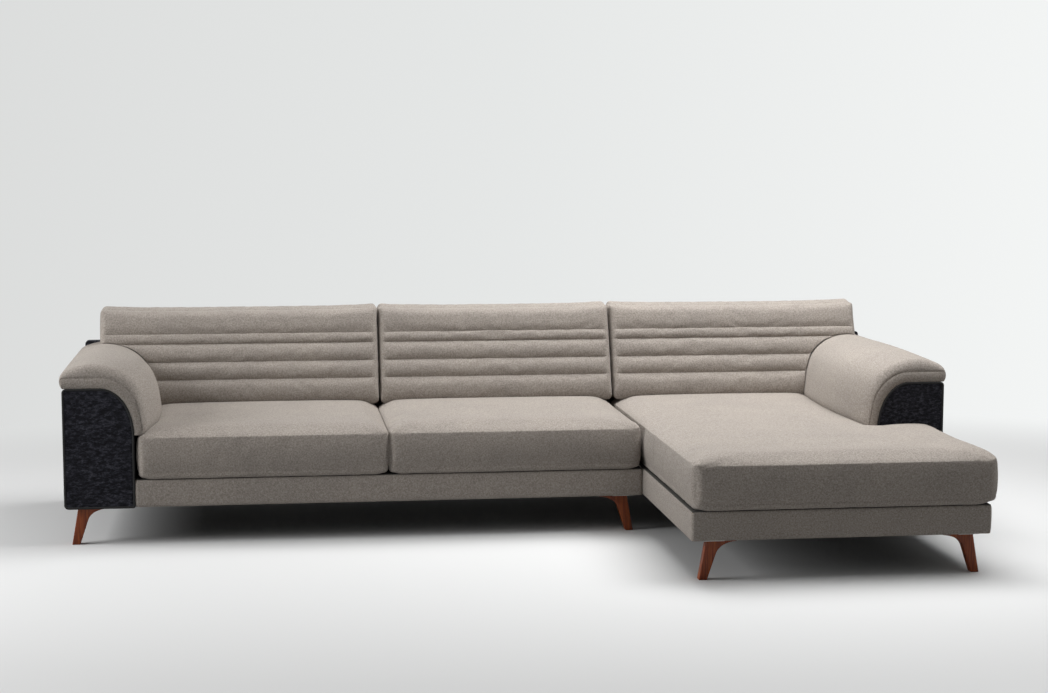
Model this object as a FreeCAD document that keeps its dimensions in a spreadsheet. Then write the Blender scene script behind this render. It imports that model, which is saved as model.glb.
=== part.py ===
import FreeCAD, Part
import Sketcher
import math
import os

# A sectional sofa in two modules: a two-seat sofa with the left arm, and a chaise with the right arm.
# All lengths are millimetres. While the model is being made, X = 0 is the outer face of the left arm,
# Y = 0 is the front of the left arm and of the sofa's plinth, +Y runs to the back, and Z = 0 is the floor.
# Each finished piece is then moved so that the origin lies at the bottom centre of the whole sofa.

DRIVING_SIZES = {
    # Heights of the main levels, and the overall plan.
    "leg_height": 135,
    "plinth_height": 100,
    "seat_seam_height": 387,
    "arm_height": 565,
    "back_height": 648,
    "arm_width": 246,
    "arm_depth": 834,
    "back_thickness": 56,
    "left_seat_width": 911,
    "center_seat_width": 943,
    "chaise_seat_width": 839,
    "chaise_reach": 819,
    "right_arm_reach": 178,
    "arm_outset": 52,
    # Timber frame.
    "rail_thickness": 25,
    "board_thickness": 27,
    "block_side": 80,
    "block_height": 40,
    "post_foot_depth": 82,
    # Cloth, plates and small parts.
    "cover_thickness": 4,
    "deck_thickness": 3,
    "dust_thickness": 1,
    "web_thickness": 2,
    "web_width": 60,
    "plate_thickness": 3,
    "plate_side": 70,
    "screw_inset": 10,
    "screw_radius": 2,
    "screw_head_radius": 3.6,
    "screw_length": 22,
    "spring_wire": 4,
    "spring_pitch": 80,
    "spring_swing": 26,
    "spring_spacing": 175,
    "hook_width": 50,
    "hook_thickness": 3,
    "hook_flange": 32,
    "hook_drop": 9,
    "hook_reach": 10,
    "hook_gap": 1,
    "hook_inset": 150,
    # Legs.
    "leg_foot_width": 28,
    "leg_thickness": 30,
    "leg_splay": 24,
    "leg_neck_width": 46,
    "leg_wing": 60,
    "leg_wing_tip": 5,
    "leg_wing_depth": 16,
    "leg_bend": 30,
    "leg_edge": 2.5,
    "leg_side_inset": 32,
    # Arm shoulder and arm pad.
    "shoulder_width": 115,
    "arm_corner": 12,
    "pad_lip_gap": 9,
    "pad_fit": 1,
    "pad_thickness": 63,
    "pad_tip_drop": 31,
    "pad_overhang": 10,
    "pad_crown": 24,
    "pad_side": 35,
    "pad_swell": 45,
    "pad_foot_inset": 4,
    "pad_lip_rise": 2,
    "pad_roll_inset": 17,
    "pad_roll_drop": 26,
    "pad_flank_inset": 15,
    "pad_flank_drop": 30,
    "pad_belly_drop": 125,
    "pad_lip_round": 8,
    # Seat cushions.
    "seat_crown": 32,
    "seat_corner": 26,
    "seat_bottom_corner": 16,
    "seat_draw": 4,
    "seat_front_bulge": 6,
    "seat_waist": 1,
    "cushion_gap": 1.5,
    "side_overlap": 20,
    # Back cushions.
    "back_cushion_depth": 178,
    "back_lean": 136,
    "back_cushion_height": 372,
    "back_left_inset": 78,
    "back_right_inset": 58,
    "back_split_shift": 7,
    "channel_one": 102,
    "channel_two": 66,
    "channel_three": 69,
    "channel_four": 37,
    "channel_depth": 9,
    "channel_swell": 5,
    "back_cushion_gap": 5,
    "back_dip": 7,
    "back_foot_round": 10,
    "back_top_round": 22,
    "back_rear_round": 4,
    "notch_gap": 3.6,
    "rest_gap": 0.6,
}

document = FreeCAD.newDocument("SectionalSofa")
sheet = document.addObject("Spreadsheet::Sheet", "Dims")
NODES = []


class Size:
    """A length held twice: as a number, and as text that the spreadsheet can work out."""

    def __init__(self, text, value):
        self.text = text
        self.value = value

    def __float__(self):
        return float(self.value)

    def __add__(self, other):
        other = as_size(other)
        return Size(f"({self.text} + {other.text})", self.value + other.value)

    def __radd__(self, other):
        return as_size(other) + self

    def __sub__(self, other):
        other = as_size(other)
        return Size(f"({self.text} - {other.text})", self.value - other.value)

    def __rsub__(self, other):
        return as_size(other) - self

    def __mul__(self, other):
        other = as_size(other)
        return Size(f"({self.text} * {other.text})", self.value * other.value)

    def __rmul__(self, other):
        return as_size(other) * self

    def __truediv__(self, other):
        other = as_size(other)
        return Size(f"({self.text} / {other.text})", self.value / other.value)

    def __neg__(self):
        return Size(f"(0 - {self.text})", -self.value)


def as_size(number):
    """Any plain number as a Size."""
    if isinstance(number, Size):
        return number
    return Size(repr(float(number)), float(number))


def fill_sheet():
    """Write the driving sizes into the sheet, one alias to each cell."""
    for row, (name, number) in enumerate(DRIVING_SIZES.items(), start=1):
        sheet.set(f"A{row}", name)
        sheet.set(f"B{row}", str(number))
        sheet.setAlias(f"B{row}", name)
    document.recompute()


def size(name):
    """A driving size, read back from the sheet."""
    return Size(f"Dims.{name}", float(getattr(sheet, name)))


fill_sheet()

# Levels.
LEG_TOP = size("leg_height")
PLINTH_TOP = LEG_TOP + size("plinth_height")
RAIL_BOTTOM = LEG_TOP + size("plate_thickness")
RAIL_TOP = PLINTH_TOP - size("deck_thickness")
SEAM_TOP = size("seat_seam_height")
ARM_TOP = size("arm_height")
BACK_TOP = size("back_height")

# Places along X, from the left arm to the right one.
COVER = size("cover_thickness")
RAIL = size("rail_thickness")
SEAT_LEFT = size("arm_width")
SEAT_SPLIT = SEAT_LEFT + size("left_seat_width")
MODULE_SPLIT = SEAT_SPLIT + size("center_seat_width")
CHAISE_INNER = MODULE_SPLIT + size("chaise_seat_width")
SOFA_RIGHT = CHAISE_INNER + size("arm_width")
PLINTH_RIGHT = SOFA_RIGHT - size("arm_outset")

# Places along Y, from the chaise's front to the back.
CHAISE_FRONT = -size("chaise_reach")
RIGHT_ARM_FRONT = -size("right_arm_reach")
BACK_FRONT = size("arm_depth")
BACK_REAR = BACK_FRONT + size("back_thickness")
POST_FOOT = BACK_FRONT - size("post_foot_depth")
CUSHION_REAR = POST_FOOT - size("web_thickness") - size("rest_gap")

# The back cushions stand on the crowned rear of the seat cushions.
REAR_CROWN = 0.9
BACK_SEAT = SEAM_TOP + REAR_CROWN * size("seat_crown") + size("rest_gap")
POST_TOP = BACK_TOP - COVER - RAIL
CHAISE_CUSHION_FRONT = CHAISE_FRONT - size("seat_front_bulge")

# The arm's shoulder ends a little above the seat's seam, so that the pad's lip just clears the seat.
SHOULDER_DROP = ARM_TOP - SEAM_TOP - size("pad_lip_gap")

# How the points of a pad's outline move with its swell, as shares of it.
PAD_RISE = 0.7
PAD_ROLL_SHIFT = 0.6
PAD_FLANK_RISE = 0.75
PAD_BELLY_RISE = 0.6
PAD_LIP_RISE = 0.15

# Where a pad's crest, upper edge and lip lie, as shares of the arm's width, the overhang and the side.
PAD_CREST = 0.42
PAD_EDGE = 0.3
PAD_LIP = 0.7

# What is left of a pad's swell where the back cushions begin.
PAD_REAR_SWELL = 0.33

# Sections of a pad along the arm: shares of its length and swell, and how far its edges are drawn in.
PAD_STATIONS = (
    (0, 0, 8), (0.012, 0, 2), (0.04, 0.05, 0), (0.18, 0.82, 0), (0.36, 1, 0), (0.54, 0.78, 0),
    (0.73, PAD_REAR_SWELL, 0), (0.95, 0.05, 0), (0.985, 0, 2), (1, 0, 8),
)

# Sections at both ends of a seat cushion: distance from the end, shares of its crown and of its side draw,
# and how far its edges are drawn in. The front and the rear each have one more before the long middle.
SEAT_END = ((0, 0.25, 0, 22), (6, 0.4, 0, 9), (20, 0.55, 0, 1.5))
SEAT_FRONT = (60, 0.75, 0.2, 0)
SEAT_REAR = (50, 0.7, 0.2, 0)
SEAT_MIDDLE = ((0.3, 0.95, 0.8), (0.5, 1, 1))
SEAT_REAR_DRAW = 0.7
SEAT_REAR_SHARE = 0.7

# Sections just before the step of the chaise cushion: distance from it, and how far the wide side is drawn
# in. No other section lies closer to the step than the clear distance.
STEP_END = ((20, 1.5), (6, 9), (1, 22))
STEP_CLEAR = 35

# Sections at both ends of a back cushion: distance from the end, shares of the channels' depth, of the
# swell and of the top's dip, and how far its edges are drawn in. The middle has its own shares.
BACK_END = ((0, 0, 0.3, 2, 12), (8, 0, 1, 0, 3), (24, 0.3, 1.2, 0, 0), (60, 1, 1.6, 0.3, 0))
BACK_MIDDLE = (1, 2, 1)

# Elastic webs across each back.
WEB_COUNT = 4

# The middle of the whole sofa in plan, where the finished model has its origin.
ORIGIN_X = SOFA_RIGHT / 2
ORIGIN_Y = (CHAISE_CUSHION_FRONT + BACK_REAR) / 2


def vector(x, y, z):
    """A point from sizes or numbers."""
    return FreeCAD.Vector(float(x), float(y), float(z))


def bind(item, prop, length):
    """Tie one property of an object to the sheet."""
    item.setExpression(prop, as_size(length).text)


def node(item, label):
    """Name a finished piece and move it into the sofa's own frame."""
    item.Label = label
    bind(item, "Placement.Base.x", -ORIGIN_X)
    bind(item, "Placement.Base.y", -ORIGIN_Y)
    NODES.append(item)
    return item


def plain_box(name, corner, sides):
    """A box at a corner, all its sizes bound, still in the making frame."""
    item = document.addObject("Part::Box", name)
    for prop, length in zip(("Length", "Width", "Height"), sides):
        bind(item, prop, length)
    for prop, place in zip("xyz", corner):
        bind(item, f"Placement.Base.{prop}", place)
    return item


def box_node(label, corner, sides):
    """A rail or board: one box that is a piece by itself."""
    item = plain_box(label, corner, sides)
    item.Label = label
    bind(item, "Placement.Base.x", corner[0] - ORIGIN_X)
    bind(item, "Placement.Base.y", corner[1] - ORIGIN_Y)
    NODES.append(item)
    return item


def group_node(label, items):
    """Several like solids that share one node."""
    item = document.addObject("Part::Compound", label)
    item.Links = items
    return node(item, label)


def shape_node(label, shape):
    """A piece whose shape is computed from the sheet's sizes."""
    item = document.addObject("Part::Feature", label)
    item.Shape = shape
    return node(item, label)


def origin_plane(body, role):
    """One of a body's own origin planes."""
    return next(item for item in body.Origin.OriginFeatures if item.Role == role)


def draw_loop(sketch, points):
    """A closed outline of straight lines, each corner held at its two distances from the origin."""
    first = sketch.GeometryCount
    corners = [vector(x, y, 0) for x, y in points]
    count = len(corners)
    for index, corner in enumerate(corners):
        sketch.addGeometry(Part.LineSegment(corner, corners[(index + 1) % count]), False)
    for index in range(count):
        following = first + (index + 1) % count
        sketch.addConstraint(Sketcher.Constraint("Coincident", first + index, 2, following, 1))
    for index, (x, y) in enumerate(points):
        for kind, place in (("DistanceX", x), ("DistanceY", y)):
            place = as_size(place)
            rule = Sketcher.Constraint(kind, -1, 1, first + index, 1, place.value)
            number = sketch.addConstraint(rule)
            sketch.setExpression(f"Constraints[{number}]", place.text)


def padded_body(label, role, loops, start, length, reverse=False):
    """A body padded from a sketch on one of its origin planes, from a start along the plane's normal."""
    body = document.addObject("PartDesign::Body", label)
    sketch = body.newObject("Sketcher::SketchObject", label + "_outline")
    sketch.AttachmentSupport = (origin_plane(body, role), [""])
    sketch.MapMode = "FlatFace"
    bind(sketch, "AttachmentOffset.Base.z", start)
    for points in loops:
        draw_loop(sketch, points)
    pad = body.newObject("PartDesign::Pad", label + "_pad")
    pad.Profile = sketch
    pad.Reversed = reverse
    bind(pad, "Length", length)
    document.recompute()
    return body


def pocket_body(body, loops, start, length):
    """Cut outlines drawn on the ground plane out of a body, and make sure that they did cut."""
    before = body.Shape.Volume
    sketch = body.newObject("Sketcher::SketchObject", body.Name + "_cutouts")
    sketch.AttachmentSupport = (origin_plane(body, "XY_Plane"), [""])
    sketch.MapMode = "FlatFace"
    bind(sketch, "AttachmentOffset.Base.z", start)
    for points in loops:
        draw_loop(sketch, points)
    pocket = body.newObject("PartDesign::Pocket", body.Name + "_pocket")
    pocket.Profile = sketch
    pocket.Reversed = True
    bind(pocket, "Length", length)
    document.recompute()
    if body.Shape.Volume >= before:
        raise SystemExit(f"{body.Name}: the cut-outs missed")
    return body


def rectangle(left, front, right, rear):
    """The four corners of a rectangle in plan."""
    return [(left, front), (right, front), (right, rear), (left, rear)]


def line(start, end):
    return Part.LineSegment(start, end).toShape()


def arc(start, middle, end):
    return Part.Arc(start, middle, end).toShape()


def face_of(edges):
    return Part.Face(Part.Wire(edges))


# Timber frame.

def sofa_frame():
    """Five rails under the two seats, and blocks in the corners for the legs."""
    height = RAIL_TOP - RAIL_BOTTOM
    left = SEAT_LEFT + COVER
    right = MODULE_SPLIT - COVER
    rear = BACK_REAR - COVER
    inner = rear - COVER - 2 * RAIL
    middle = SEAT_SPLIT - RAIL / 2
    for label, x, y, width, depth in (
        ("sofa_front_rail", left, COVER, right - left, RAIL),
        ("sofa_rear_rail", left, rear - RAIL, right - left, RAIL),
        ("sofa_left_rail", left, COVER + RAIL, RAIL, inner),
        ("sofa_right_rail", right - RAIL, COVER + RAIL, RAIL, inner),
        ("sofa_center_rail", middle, COVER + RAIL, RAIL, inner),
    ):
        box_node(label, (x, y, RAIL_BOTTOM), (width, depth, height))
    corner_blocks("sofa_corner_blocks", [
        (left + RAIL, COVER + RAIL),
        (right - RAIL - size("block_side"), COVER + RAIL),
        (left + RAIL, rear - RAIL - size("block_side")),
        (right - RAIL - size("block_side"), rear - RAIL - size("block_side")),
    ])


def corner_blocks(label, corners):
    """Square blocks glued in the corners of a frame."""
    sides = (size("block_side"), size("block_side"), size("block_height"))
    items = []
    for index, (x, y) in enumerate(corners):
        items.append(plain_box(f"{label}_{index}", (x, y, RAIL_BOTTOM), sides))
    group_node(label, items)


def chaise_frame():
    """Rails under the chaise, whose front is wider than its rear because the arm starts further back."""
    height = RAIL_TOP - RAIL_BOTTOM
    left = MODULE_SPLIT + COVER
    right = CHAISE_INNER - COVER
    wide = PLINTH_RIGHT - COVER
    front = CHAISE_FRONT + COVER
    step = RIGHT_ARM_FRONT - COVER
    rear = BACK_REAR - COVER
    block = size("block_side")
    for label, x, y, width, depth in (
        ("chaise_front_rail", left, front, wide - left, RAIL),
        ("chaise_rear_rail", left, rear - RAIL, right - left, RAIL),
        ("chaise_left_rail", left, front + RAIL, RAIL, rear - front - 2 * RAIL),
        ("chaise_right_rail", right - RAIL, step, RAIL, rear - step - RAIL),
        ("chaise_extension_rail", wide - RAIL, front + RAIL, RAIL, step - front - RAIL),
        ("chaise_cross_rail", left + RAIL, step - RAIL, wide - left - 2 * RAIL, RAIL),
    ):
        box_node(label, (x, y, RAIL_BOTTOM), (width, depth, height))
    corner_blocks("chaise_corner_blocks", [
        (left + RAIL, front + RAIL),
        (wide - RAIL - block, front + RAIL),
        (left + RAIL, rear - RAIL - block),
        (right - RAIL - block, rear - RAIL - block),
    ])


# Springs and cloth of the seats.

def sinuous_spring(start, along, across, length):
    """One zigzag wire spring: quarter turns at the rails, and half turns with runs across between them."""
    turns = 2 * max(1, int(length / float(size("spring_pitch"))))
    radius = length / (2 * turns + 2)
    swing = float(size("spring_swing"))
    half = math.sqrt(0.5)

    def at(sideways, forward):
        return start + across * sideways + along * forward

    edges = [arc(at(0, 0), at(radius * (1 - half), radius * half), at(radius, radius))]
    here = radius
    side = 1
    forward = radius
    for _ in range(turns):
        edges.append(line(at(here, forward), at(side * swing, forward)))
        here = side * swing
        outer = at(here + side * radius, forward + radius)
        edges.append(arc(at(here, forward), outer, at(here, forward + 2 * radius)))
        forward += 2 * radius
        side = -side
    edges.append(line(at(here, forward), at(-radius, forward)))
    middle = at(-radius * (1 - half), forward + radius * (1 - half))
    edges.append(arc(at(-radius, forward), middle, at(0, forward + radius)))
    ring = Part.Wire(Part.Circle(start, along, float(size("spring_wire")) / 2).toShape())
    return Part.Wire(edges).makePipeShell([ring], True, False)


def spring_height():
    """The wire's centre, just under the deck cloth."""
    return float(RAIL_TOP - size("spring_wire") / 2 - size("rest_gap"))


def spring_places(low, high):
    """Evenly spaced spring centre lines between two rails."""
    count = max(1, int((high - low) / float(size("spring_spacing"))))
    step = (high - low) / count
    return [low + step * (index + 0.5) for index in range(count)]


def sofa_springs():
    """Springs from the front rail to the rear rail, on both sides of the centre rail."""
    front = float(COVER + RAIL)
    length = float(BACK_REAR - COVER - RAIL) - front
    bays = [
        (SEAT_LEFT + COVER + RAIL, SEAT_SPLIT - RAIL / 2),
        (SEAT_SPLIT + RAIL / 2, MODULE_SPLIT - COVER - RAIL),
    ]
    springs = []
    for left, right in bays:
        for x in spring_places(float(left), float(right)):
            start = vector(x, front, spring_height())
            springs.append(sinuous_spring(start, vector(0, 1, 0), vector(1, 0, 0), length))
    shape_node("sofa_seat_springs", Part.Compound(springs))


def chaise_springs():
    """Springs across the chaise, longer where its front is wider."""
    left = float(MODULE_SPLIT + COVER + RAIL)
    step = float(RIGHT_ARM_FRONT - COVER)
    fields = [
        (float(CHAISE_FRONT + COVER + RAIL), step - float(RAIL), float(PLINTH_RIGHT - COVER - RAIL)),
        (step, float(POST_FOOT), float(CHAISE_INNER - COVER - RAIL)),
    ]
    springs = []
    for front, rear, right in fields:
        for y in spring_places(front, rear):
            start = vector(left, y, spring_height())
            springs.append(sinuous_spring(start, vector(1, 0, 0), vector(0, -1, 0), right - left))
    shape_node("chaise_seat_springs", Part.Compound(springs))


def l_outline(left, right, wide, front, step, rear):
    """An outline in plan that is wide in front of a step and narrow behind it."""
    return [(left, front), (wide, front), (wide, step), (right, step), (right, rear), (left, rear)]


def seat_decks():
    """Cloth decks stretched over the springs, under the loose cushions."""
    thickness = size("deck_thickness")
    sofa = rectangle(SEAT_LEFT + COVER, COVER, MODULE_SPLIT - COVER, POST_FOOT - COVER)
    node(padded_body("sofa_seat_deck", "XY_Plane", [sofa], RAIL_TOP, thickness), "sofa_seat_deck")
    chaise = l_outline(MODULE_SPLIT + COVER, CHAISE_INNER - COVER, PLINTH_RIGHT - COVER,
                       CHAISE_FRONT + COVER, RIGHT_ARM_FRONT - COVER, POST_FOOT - COVER)
    node(padded_body("chaise_seat_deck", "XY_Plane", [chaise], RAIL_TOP, thickness), "chaise_seat_deck")


def plinth_covers():
    """Upholstered bands round the frames, open at the back where the back cover closes them."""
    height = size("plinth_height")
    sofa = [
        (SEAT_LEFT, BACK_FRONT), (SEAT_LEFT, 0), (MODULE_SPLIT, 0), (MODULE_SPLIT, BACK_FRONT),
        (MODULE_SPLIT - COVER, BACK_FRONT), (MODULE_SPLIT - COVER, COVER),
        (SEAT_LEFT + COVER, COVER), (SEAT_LEFT + COVER, BACK_FRONT),
    ]
    node(padded_body("sofa_plinth_cover", "XY_Plane", [sofa], LEG_TOP, height), "sofa_plinth_cover")
    chaise = [
        (MODULE_SPLIT, BACK_FRONT), (MODULE_SPLIT, CHAISE_FRONT), (PLINTH_RIGHT, CHAISE_FRONT),
        (PLINTH_RIGHT, RIGHT_ARM_FRONT), (CHAISE_INNER, RIGHT_ARM_FRONT), (CHAISE_INNER, BACK_FRONT),
        (CHAISE_INNER - COVER, BACK_FRONT), (CHAISE_INNER - COVER, RIGHT_ARM_FRONT - COVER),
        (PLINTH_RIGHT - COVER, RIGHT_ARM_FRONT - COVER), (PLINTH_RIGHT - COVER, CHAISE_FRONT + COVER),
        (MODULE_SPLIT + COVER, CHAISE_FRONT + COVER), (MODULE_SPLIT + COVER, BACK_FRONT),
    ]
    node(padded_body("chaise_plinth_cover", "XY_Plane", [chaise], LEG_TOP, height), "chaise_plinth_cover")


def dust_covers():
    """Thin black cloth stapled under each frame, cut out round the leg plates."""
    thickness = size("dust_thickness")
    margin = size("plate_thickness")
    start = RAIL_BOTTOM - thickness
    sofa = rectangle(SEAT_LEFT + COVER, COVER, MODULE_SPLIT - COVER, BACK_REAR - COVER)
    chaise = l_outline(MODULE_SPLIT + COVER, CHAISE_INNER - COVER, PLINTH_RIGHT - COVER,
                       CHAISE_FRONT + COVER, RIGHT_ARM_FRONT - COVER, BACK_REAR - COVER)
    for part, outline, first in (("sofa", sofa, 2), ("chaise", chaise, 1)):
        label = f"{part}_dust_cover"
        body = padded_body(label, "XY_Plane", [outline], start, thickness)
        squares = [plate_square(x, y, margin) for x, y in plate_corners(part)[first:]]
        node(pocket_body(body, squares, start, thickness), label)


# Legs and their plates.

def plate_square(x, y, margin):
    """The outline of a leg plate with a margin round it; x and y are its low corner."""
    side = size("plate_side")
    return rectangle(x - margin, y - margin, x + side + margin, y + side + margin)


def leg_places(module):
    """Each leg of a module: name, outer edge at the floor, front of its plate, and if it is mirrored."""
    inset = size("leg_side_inset")
    under_arm = inset - size("leg_splay") / 2
    side = size("plate_side")
    rear = BACK_REAR - COVER - side
    arm_rear = BACK_FRONT - COVER - side
    if module == "sofa":
        return [
            ("sofa_leg_front_left", under_arm, COVER, False),
            ("sofa_leg_rear_left", under_arm, arm_rear, False),
            ("sofa_leg_front_right", MODULE_SPLIT - inset, COVER, True),
            ("sofa_leg_rear_right", MODULE_SPLIT - inset, rear, True),
        ]
    return [
        ("chaise_leg_rear_right", SOFA_RIGHT - under_arm, arm_rear, True),
        ("chaise_leg_front_left", MODULE_SPLIT + inset, CHAISE_FRONT + COVER, False),
        ("chaise_leg_front_right", PLINTH_RIGHT - inset, CHAISE_FRONT + COVER, True),
        ("chaise_leg_rear_left", MODULE_SPLIT + inset, rear, False),
    ]


def plate_corners(module):
    """Low corners of a module's plates, each centred over the neck of its leg."""
    reach = size("leg_splay") + size("leg_neck_width") / 2
    side = size("plate_side")
    corners = []
    for _, outer, front, mirror in leg_places(module):
        middle = outer - reach if mirror else outer + reach
        corners.append((middle - side / 2, front))
    return corners


def screw_points(x, y):
    """Four screw centres near the corners of a plate."""
    inset = size("screw_inset")
    side = size("plate_side")
    return [(x + a, y + b) for a in (inset, side - inset) for b in (inset, side - inset)]


def leg_plates(label, corners):
    """Steel plates under the frame, each with four screw holes."""
    thickness = float(size("plate_thickness"))
    side = float(size("plate_side"))
    plates = []
    for x, y in corners:
        plate = Part.makeBox(side, side, thickness, vector(x, y, LEG_TOP))
        for a, b in screw_points(x, y):
            hole = Part.makeCylinder(float(size("screw_radius")), thickness, vector(a, b, LEG_TOP))
            plate = plate.cut(hole)
        plates.append(plate)
    shape_node(label, Part.Compound(plates))


def leg_screws(label, corners):
    """Wood screws up through the plates, their flat heads under them."""
    head = float(size("screw_head_radius"))
    radius = float(size("screw_radius"))
    length = float(size("screw_length"))
    screws = []
    for x, y in corners:
        for a, b in screw_points(x, y):
            base = float(LEG_TOP)
            cap = Part.makeCone(radius, head, head - radius, vector(a, b, base - (head - radius)))
            shank = Part.makeCylinder(radius, length, vector(a, b, base))
            screws.append(cap.fuse(shank).removeSplitter())
    shape_node(label, Part.Compound(screws))


def leg_outline(mirror):
    """The side view of a leg from its outer edge: a tapered foot that sweeps into a wing at the top."""
    foot = size("leg_foot_width")
    splay = size("leg_splay")
    neck = splay + size("leg_neck_width")
    wing = neck + size("leg_wing")
    top = LEG_TOP
    points = [
        (0, 0),
        (foot, 0),
        (neck, top - size("leg_wing_depth")),
        (wing, top - size("leg_wing_tip")),
        (wing, top),
        (splay, top),
    ]
    if mirror:
        return [(-x, z) for x, z in reversed(points)]
    return points


def edges_at(shape, x, z):
    """Names of the edges that run along Y at one place of the side view."""
    names = []
    for number, edge in enumerate(shape.Edges, start=1):
        box = edge.BoundBox
        if abs(box.XMin - x) + abs(box.XMax - x) + abs(box.ZMin - z) + abs(box.ZMax - z) < 0.01:
            names.append(f"Edge{number}")
    return names


def wooden_leg(label, x, y, mirror):
    """One leg: x is its outer edge at the floor and y is its front face."""
    thickness = size("leg_thickness")
    body = padded_body(label, "XZ_Plane", [leg_outline(mirror)], -y - thickness, thickness)
    sign = -1 if mirror else 1
    neck = sign * float(size("leg_splay") + size("leg_neck_width"))
    knee = float(LEG_TOP - size("leg_wing_depth"))
    pad = body.Tip
    bend = body.newObject("PartDesign::Fillet", label + "_bend")
    bend.Base = (pad, edges_at(pad.Shape, neck, knee))
    bind(bend, "Radius", size("leg_bend"))
    document.recompute()
    foot = sign * float(size("leg_foot_width"))
    names = edges_at(bend.Shape, 0, 0) + edges_at(bend.Shape, foot, 0)
    soft = body.newObject("PartDesign::Fillet", label + "_foot")
    soft.Base = (bend, names)
    bind(soft, "Radius", size("leg_edge"))
    document.recompute()
    body.Label = label
    bind(body, "Placement.Base.x", x - ORIGIN_X)
    bind(body, "Placement.Base.y", -ORIGIN_Y)
    NODES.append(body)


def legs():
    """Eight legs, each under the middle of its plate; they lean outward and their wings point inward."""
    setback = (size("plate_side") - size("leg_thickness")) / 2
    for module in ("sofa", "chaise"):
        for label, outer, front, mirror in leg_places(module):
            wooden_leg(label, outer, front + setback, mirror)


# Backs.

def back_frame(module, lefts, low, high):
    """Posts whose front edge leans back, a top rail over them and elastic webs across them."""
    top = POST_TOP
    rear = BACK_REAR - COVER
    outline = [(POST_FOOT, RAIL_TOP), (rear, RAIL_TOP), (rear, top), (BACK_FRONT, top)]
    posts = []
    for index, left in enumerate(lefts):
        posts.append(padded_body(f"{module}_post_{index}", "YZ_Plane", [outline], left, RAIL))
    group_node(f"{module}_back_posts", posts)
    box_node(f"{module}_back_top_rail", (low, BACK_FRONT, top), (high - low, rear - BACK_FRONT, RAIL))
    lean = math.atan2(float(BACK_FRONT - POST_FOOT), float(top - RAIL_TOP))
    run = float(top - RAIL_TOP) / math.cos(lean)
    width = float(size("web_width"))
    thickness = float(size("web_thickness"))
    webs = []
    for index in range(WEB_COUNT):
        web = Part.makeBox(float(lefts[-1] + RAIL - lefts[0]), thickness, width)
        web.translate(vector(0, -thickness, (run - width) * (index + 0.5) / WEB_COUNT))
        web.rotate(vector(0, 0, 0), vector(1, 0, 0), -math.degrees(lean))
        web.translate(vector(lefts[0], POST_FOOT, RAIL_TOP))
        webs.append(web)
    shape_node(f"{module}_back_webbing", Part.Compound(webs))


def back_cover(label, low, high):
    """The outer back: rear, top and ends in one upholstered shell, open to the front and below."""
    depth = BACK_REAR - BACK_FRONT
    height = BACK_TOP - LEG_TOP
    outer = plain_box(label + "_outer", (low, BACK_FRONT, LEG_TOP), (high - low, depth, height))
    document.recompute()
    rounded = document.addObject("Part::Fillet", label + "_rounded")
    rounded.Base = outer
    radius = min(float(size("arm_corner")), float(depth) / 3)
    rounded.Edges = [(number, radius, radius) for number in rear_edges(outer.Shape)]
    start = (low + COVER, BACK_FRONT - COVER, LEG_TOP - COVER)
    inner = plain_box(label + "_inner", start, (high - low - 2 * COVER, depth, height))
    shell = document.addObject("Part::Cut", label)
    shell.Base = rounded
    shell.Tool = inner
    node(shell, label)


def rear_edges(shape):
    """The edge along the top of the rear face."""
    rear = float(BACK_REAR)
    top = float(BACK_TOP)
    numbers = []
    for number, edge in enumerate(shape.Edges, start=1):
        box = edge.BoundBox
        if abs(box.YMin - rear) < 0.01 and abs(box.ZMin - top) < 0.01:
            numbers.append(number)
    return numbers


def backs():
    """The two backs, joined only by the modules' hooks."""
    clear = size("pad_side") + PAD_REAR_SWELL * size("pad_swell") + size("pad_fit")
    sofa_posts = [SEAT_LEFT + clear, SEAT_SPLIT - RAIL / 2, MODULE_SPLIT - COVER - RAIL]
    inset = size("pad_overhang")
    back_frame("sofa", sofa_posts, inset + COVER, MODULE_SPLIT - COVER)
    back_cover("sofa_back_cover", inset, MODULE_SPLIT)
    chaise_left = MODULE_SPLIT + COVER
    chaise_posts = [chaise_left, CHAISE_INNER - clear - RAIL]
    back_frame("chaise", chaise_posts, chaise_left, SOFA_RIGHT - inset - COVER)
    back_cover("chaise_back_cover", MODULE_SPLIT, SOFA_RIGHT - inset)


# Arms. Their cross-sections are drawn from the outer face, so that the right arm mirrors the left one.

def shoulder_point(degrees, offset):
    """A point of the arm's elliptical shoulder, 0 at the inner side and 90 on the flat top."""
    angle = math.radians(degrees)
    across = float(size("shoulder_width"))
    drop = float(SHOULDER_DROP)
    x = float(size("arm_width")) - across + (across + offset) * math.cos(angle)
    z = float(ARM_TOP) - drop + (drop + offset) * math.sin(angle)
    return x, z


def arm_profile(offset, mirror, y):
    """The arm's upright section with its rounded inner shoulder, grown or shrunk by an offset."""
    corner = float(size("arm_corner")) + offset
    top = float(ARM_TOP) + offset
    bottom = float(LEG_TOP) if offset == 0 else float(RAIL_BOTTOM)
    left = -offset
    right, start = shoulder_point(0, offset)
    half = math.sqrt(0.5)

    def at(x, z):
        return arm_point(x, y, z, mirror)

    tangent = at(left + corner, top)
    bevel = at(left + corner * (1 - half), top - corner * (1 - half))
    low_bend, middle, high_bend, end = [at(*shoulder_point(turn, offset)) for turn in (22.5, 45, 67.5, 90)]
    return [
        line(at(left, bottom), at(right, bottom)),
        line(at(right, bottom), at(right, start)),
        arc(at(right, start), low_bend, middle),
        arc(middle, high_bend, end),
        line(end, tangent),
        arc(tangent, bevel, at(left, top - corner)),
        line(at(left, top - corner), at(left, bottom)),
    ]


def arm_point(x, y, z, mirror):
    """A point of an arm, measured from its outer face."""
    if mirror:
        return vector(float(SOFA_RIGHT) - x, y, z)
    return vector(x, y, z)


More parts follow.
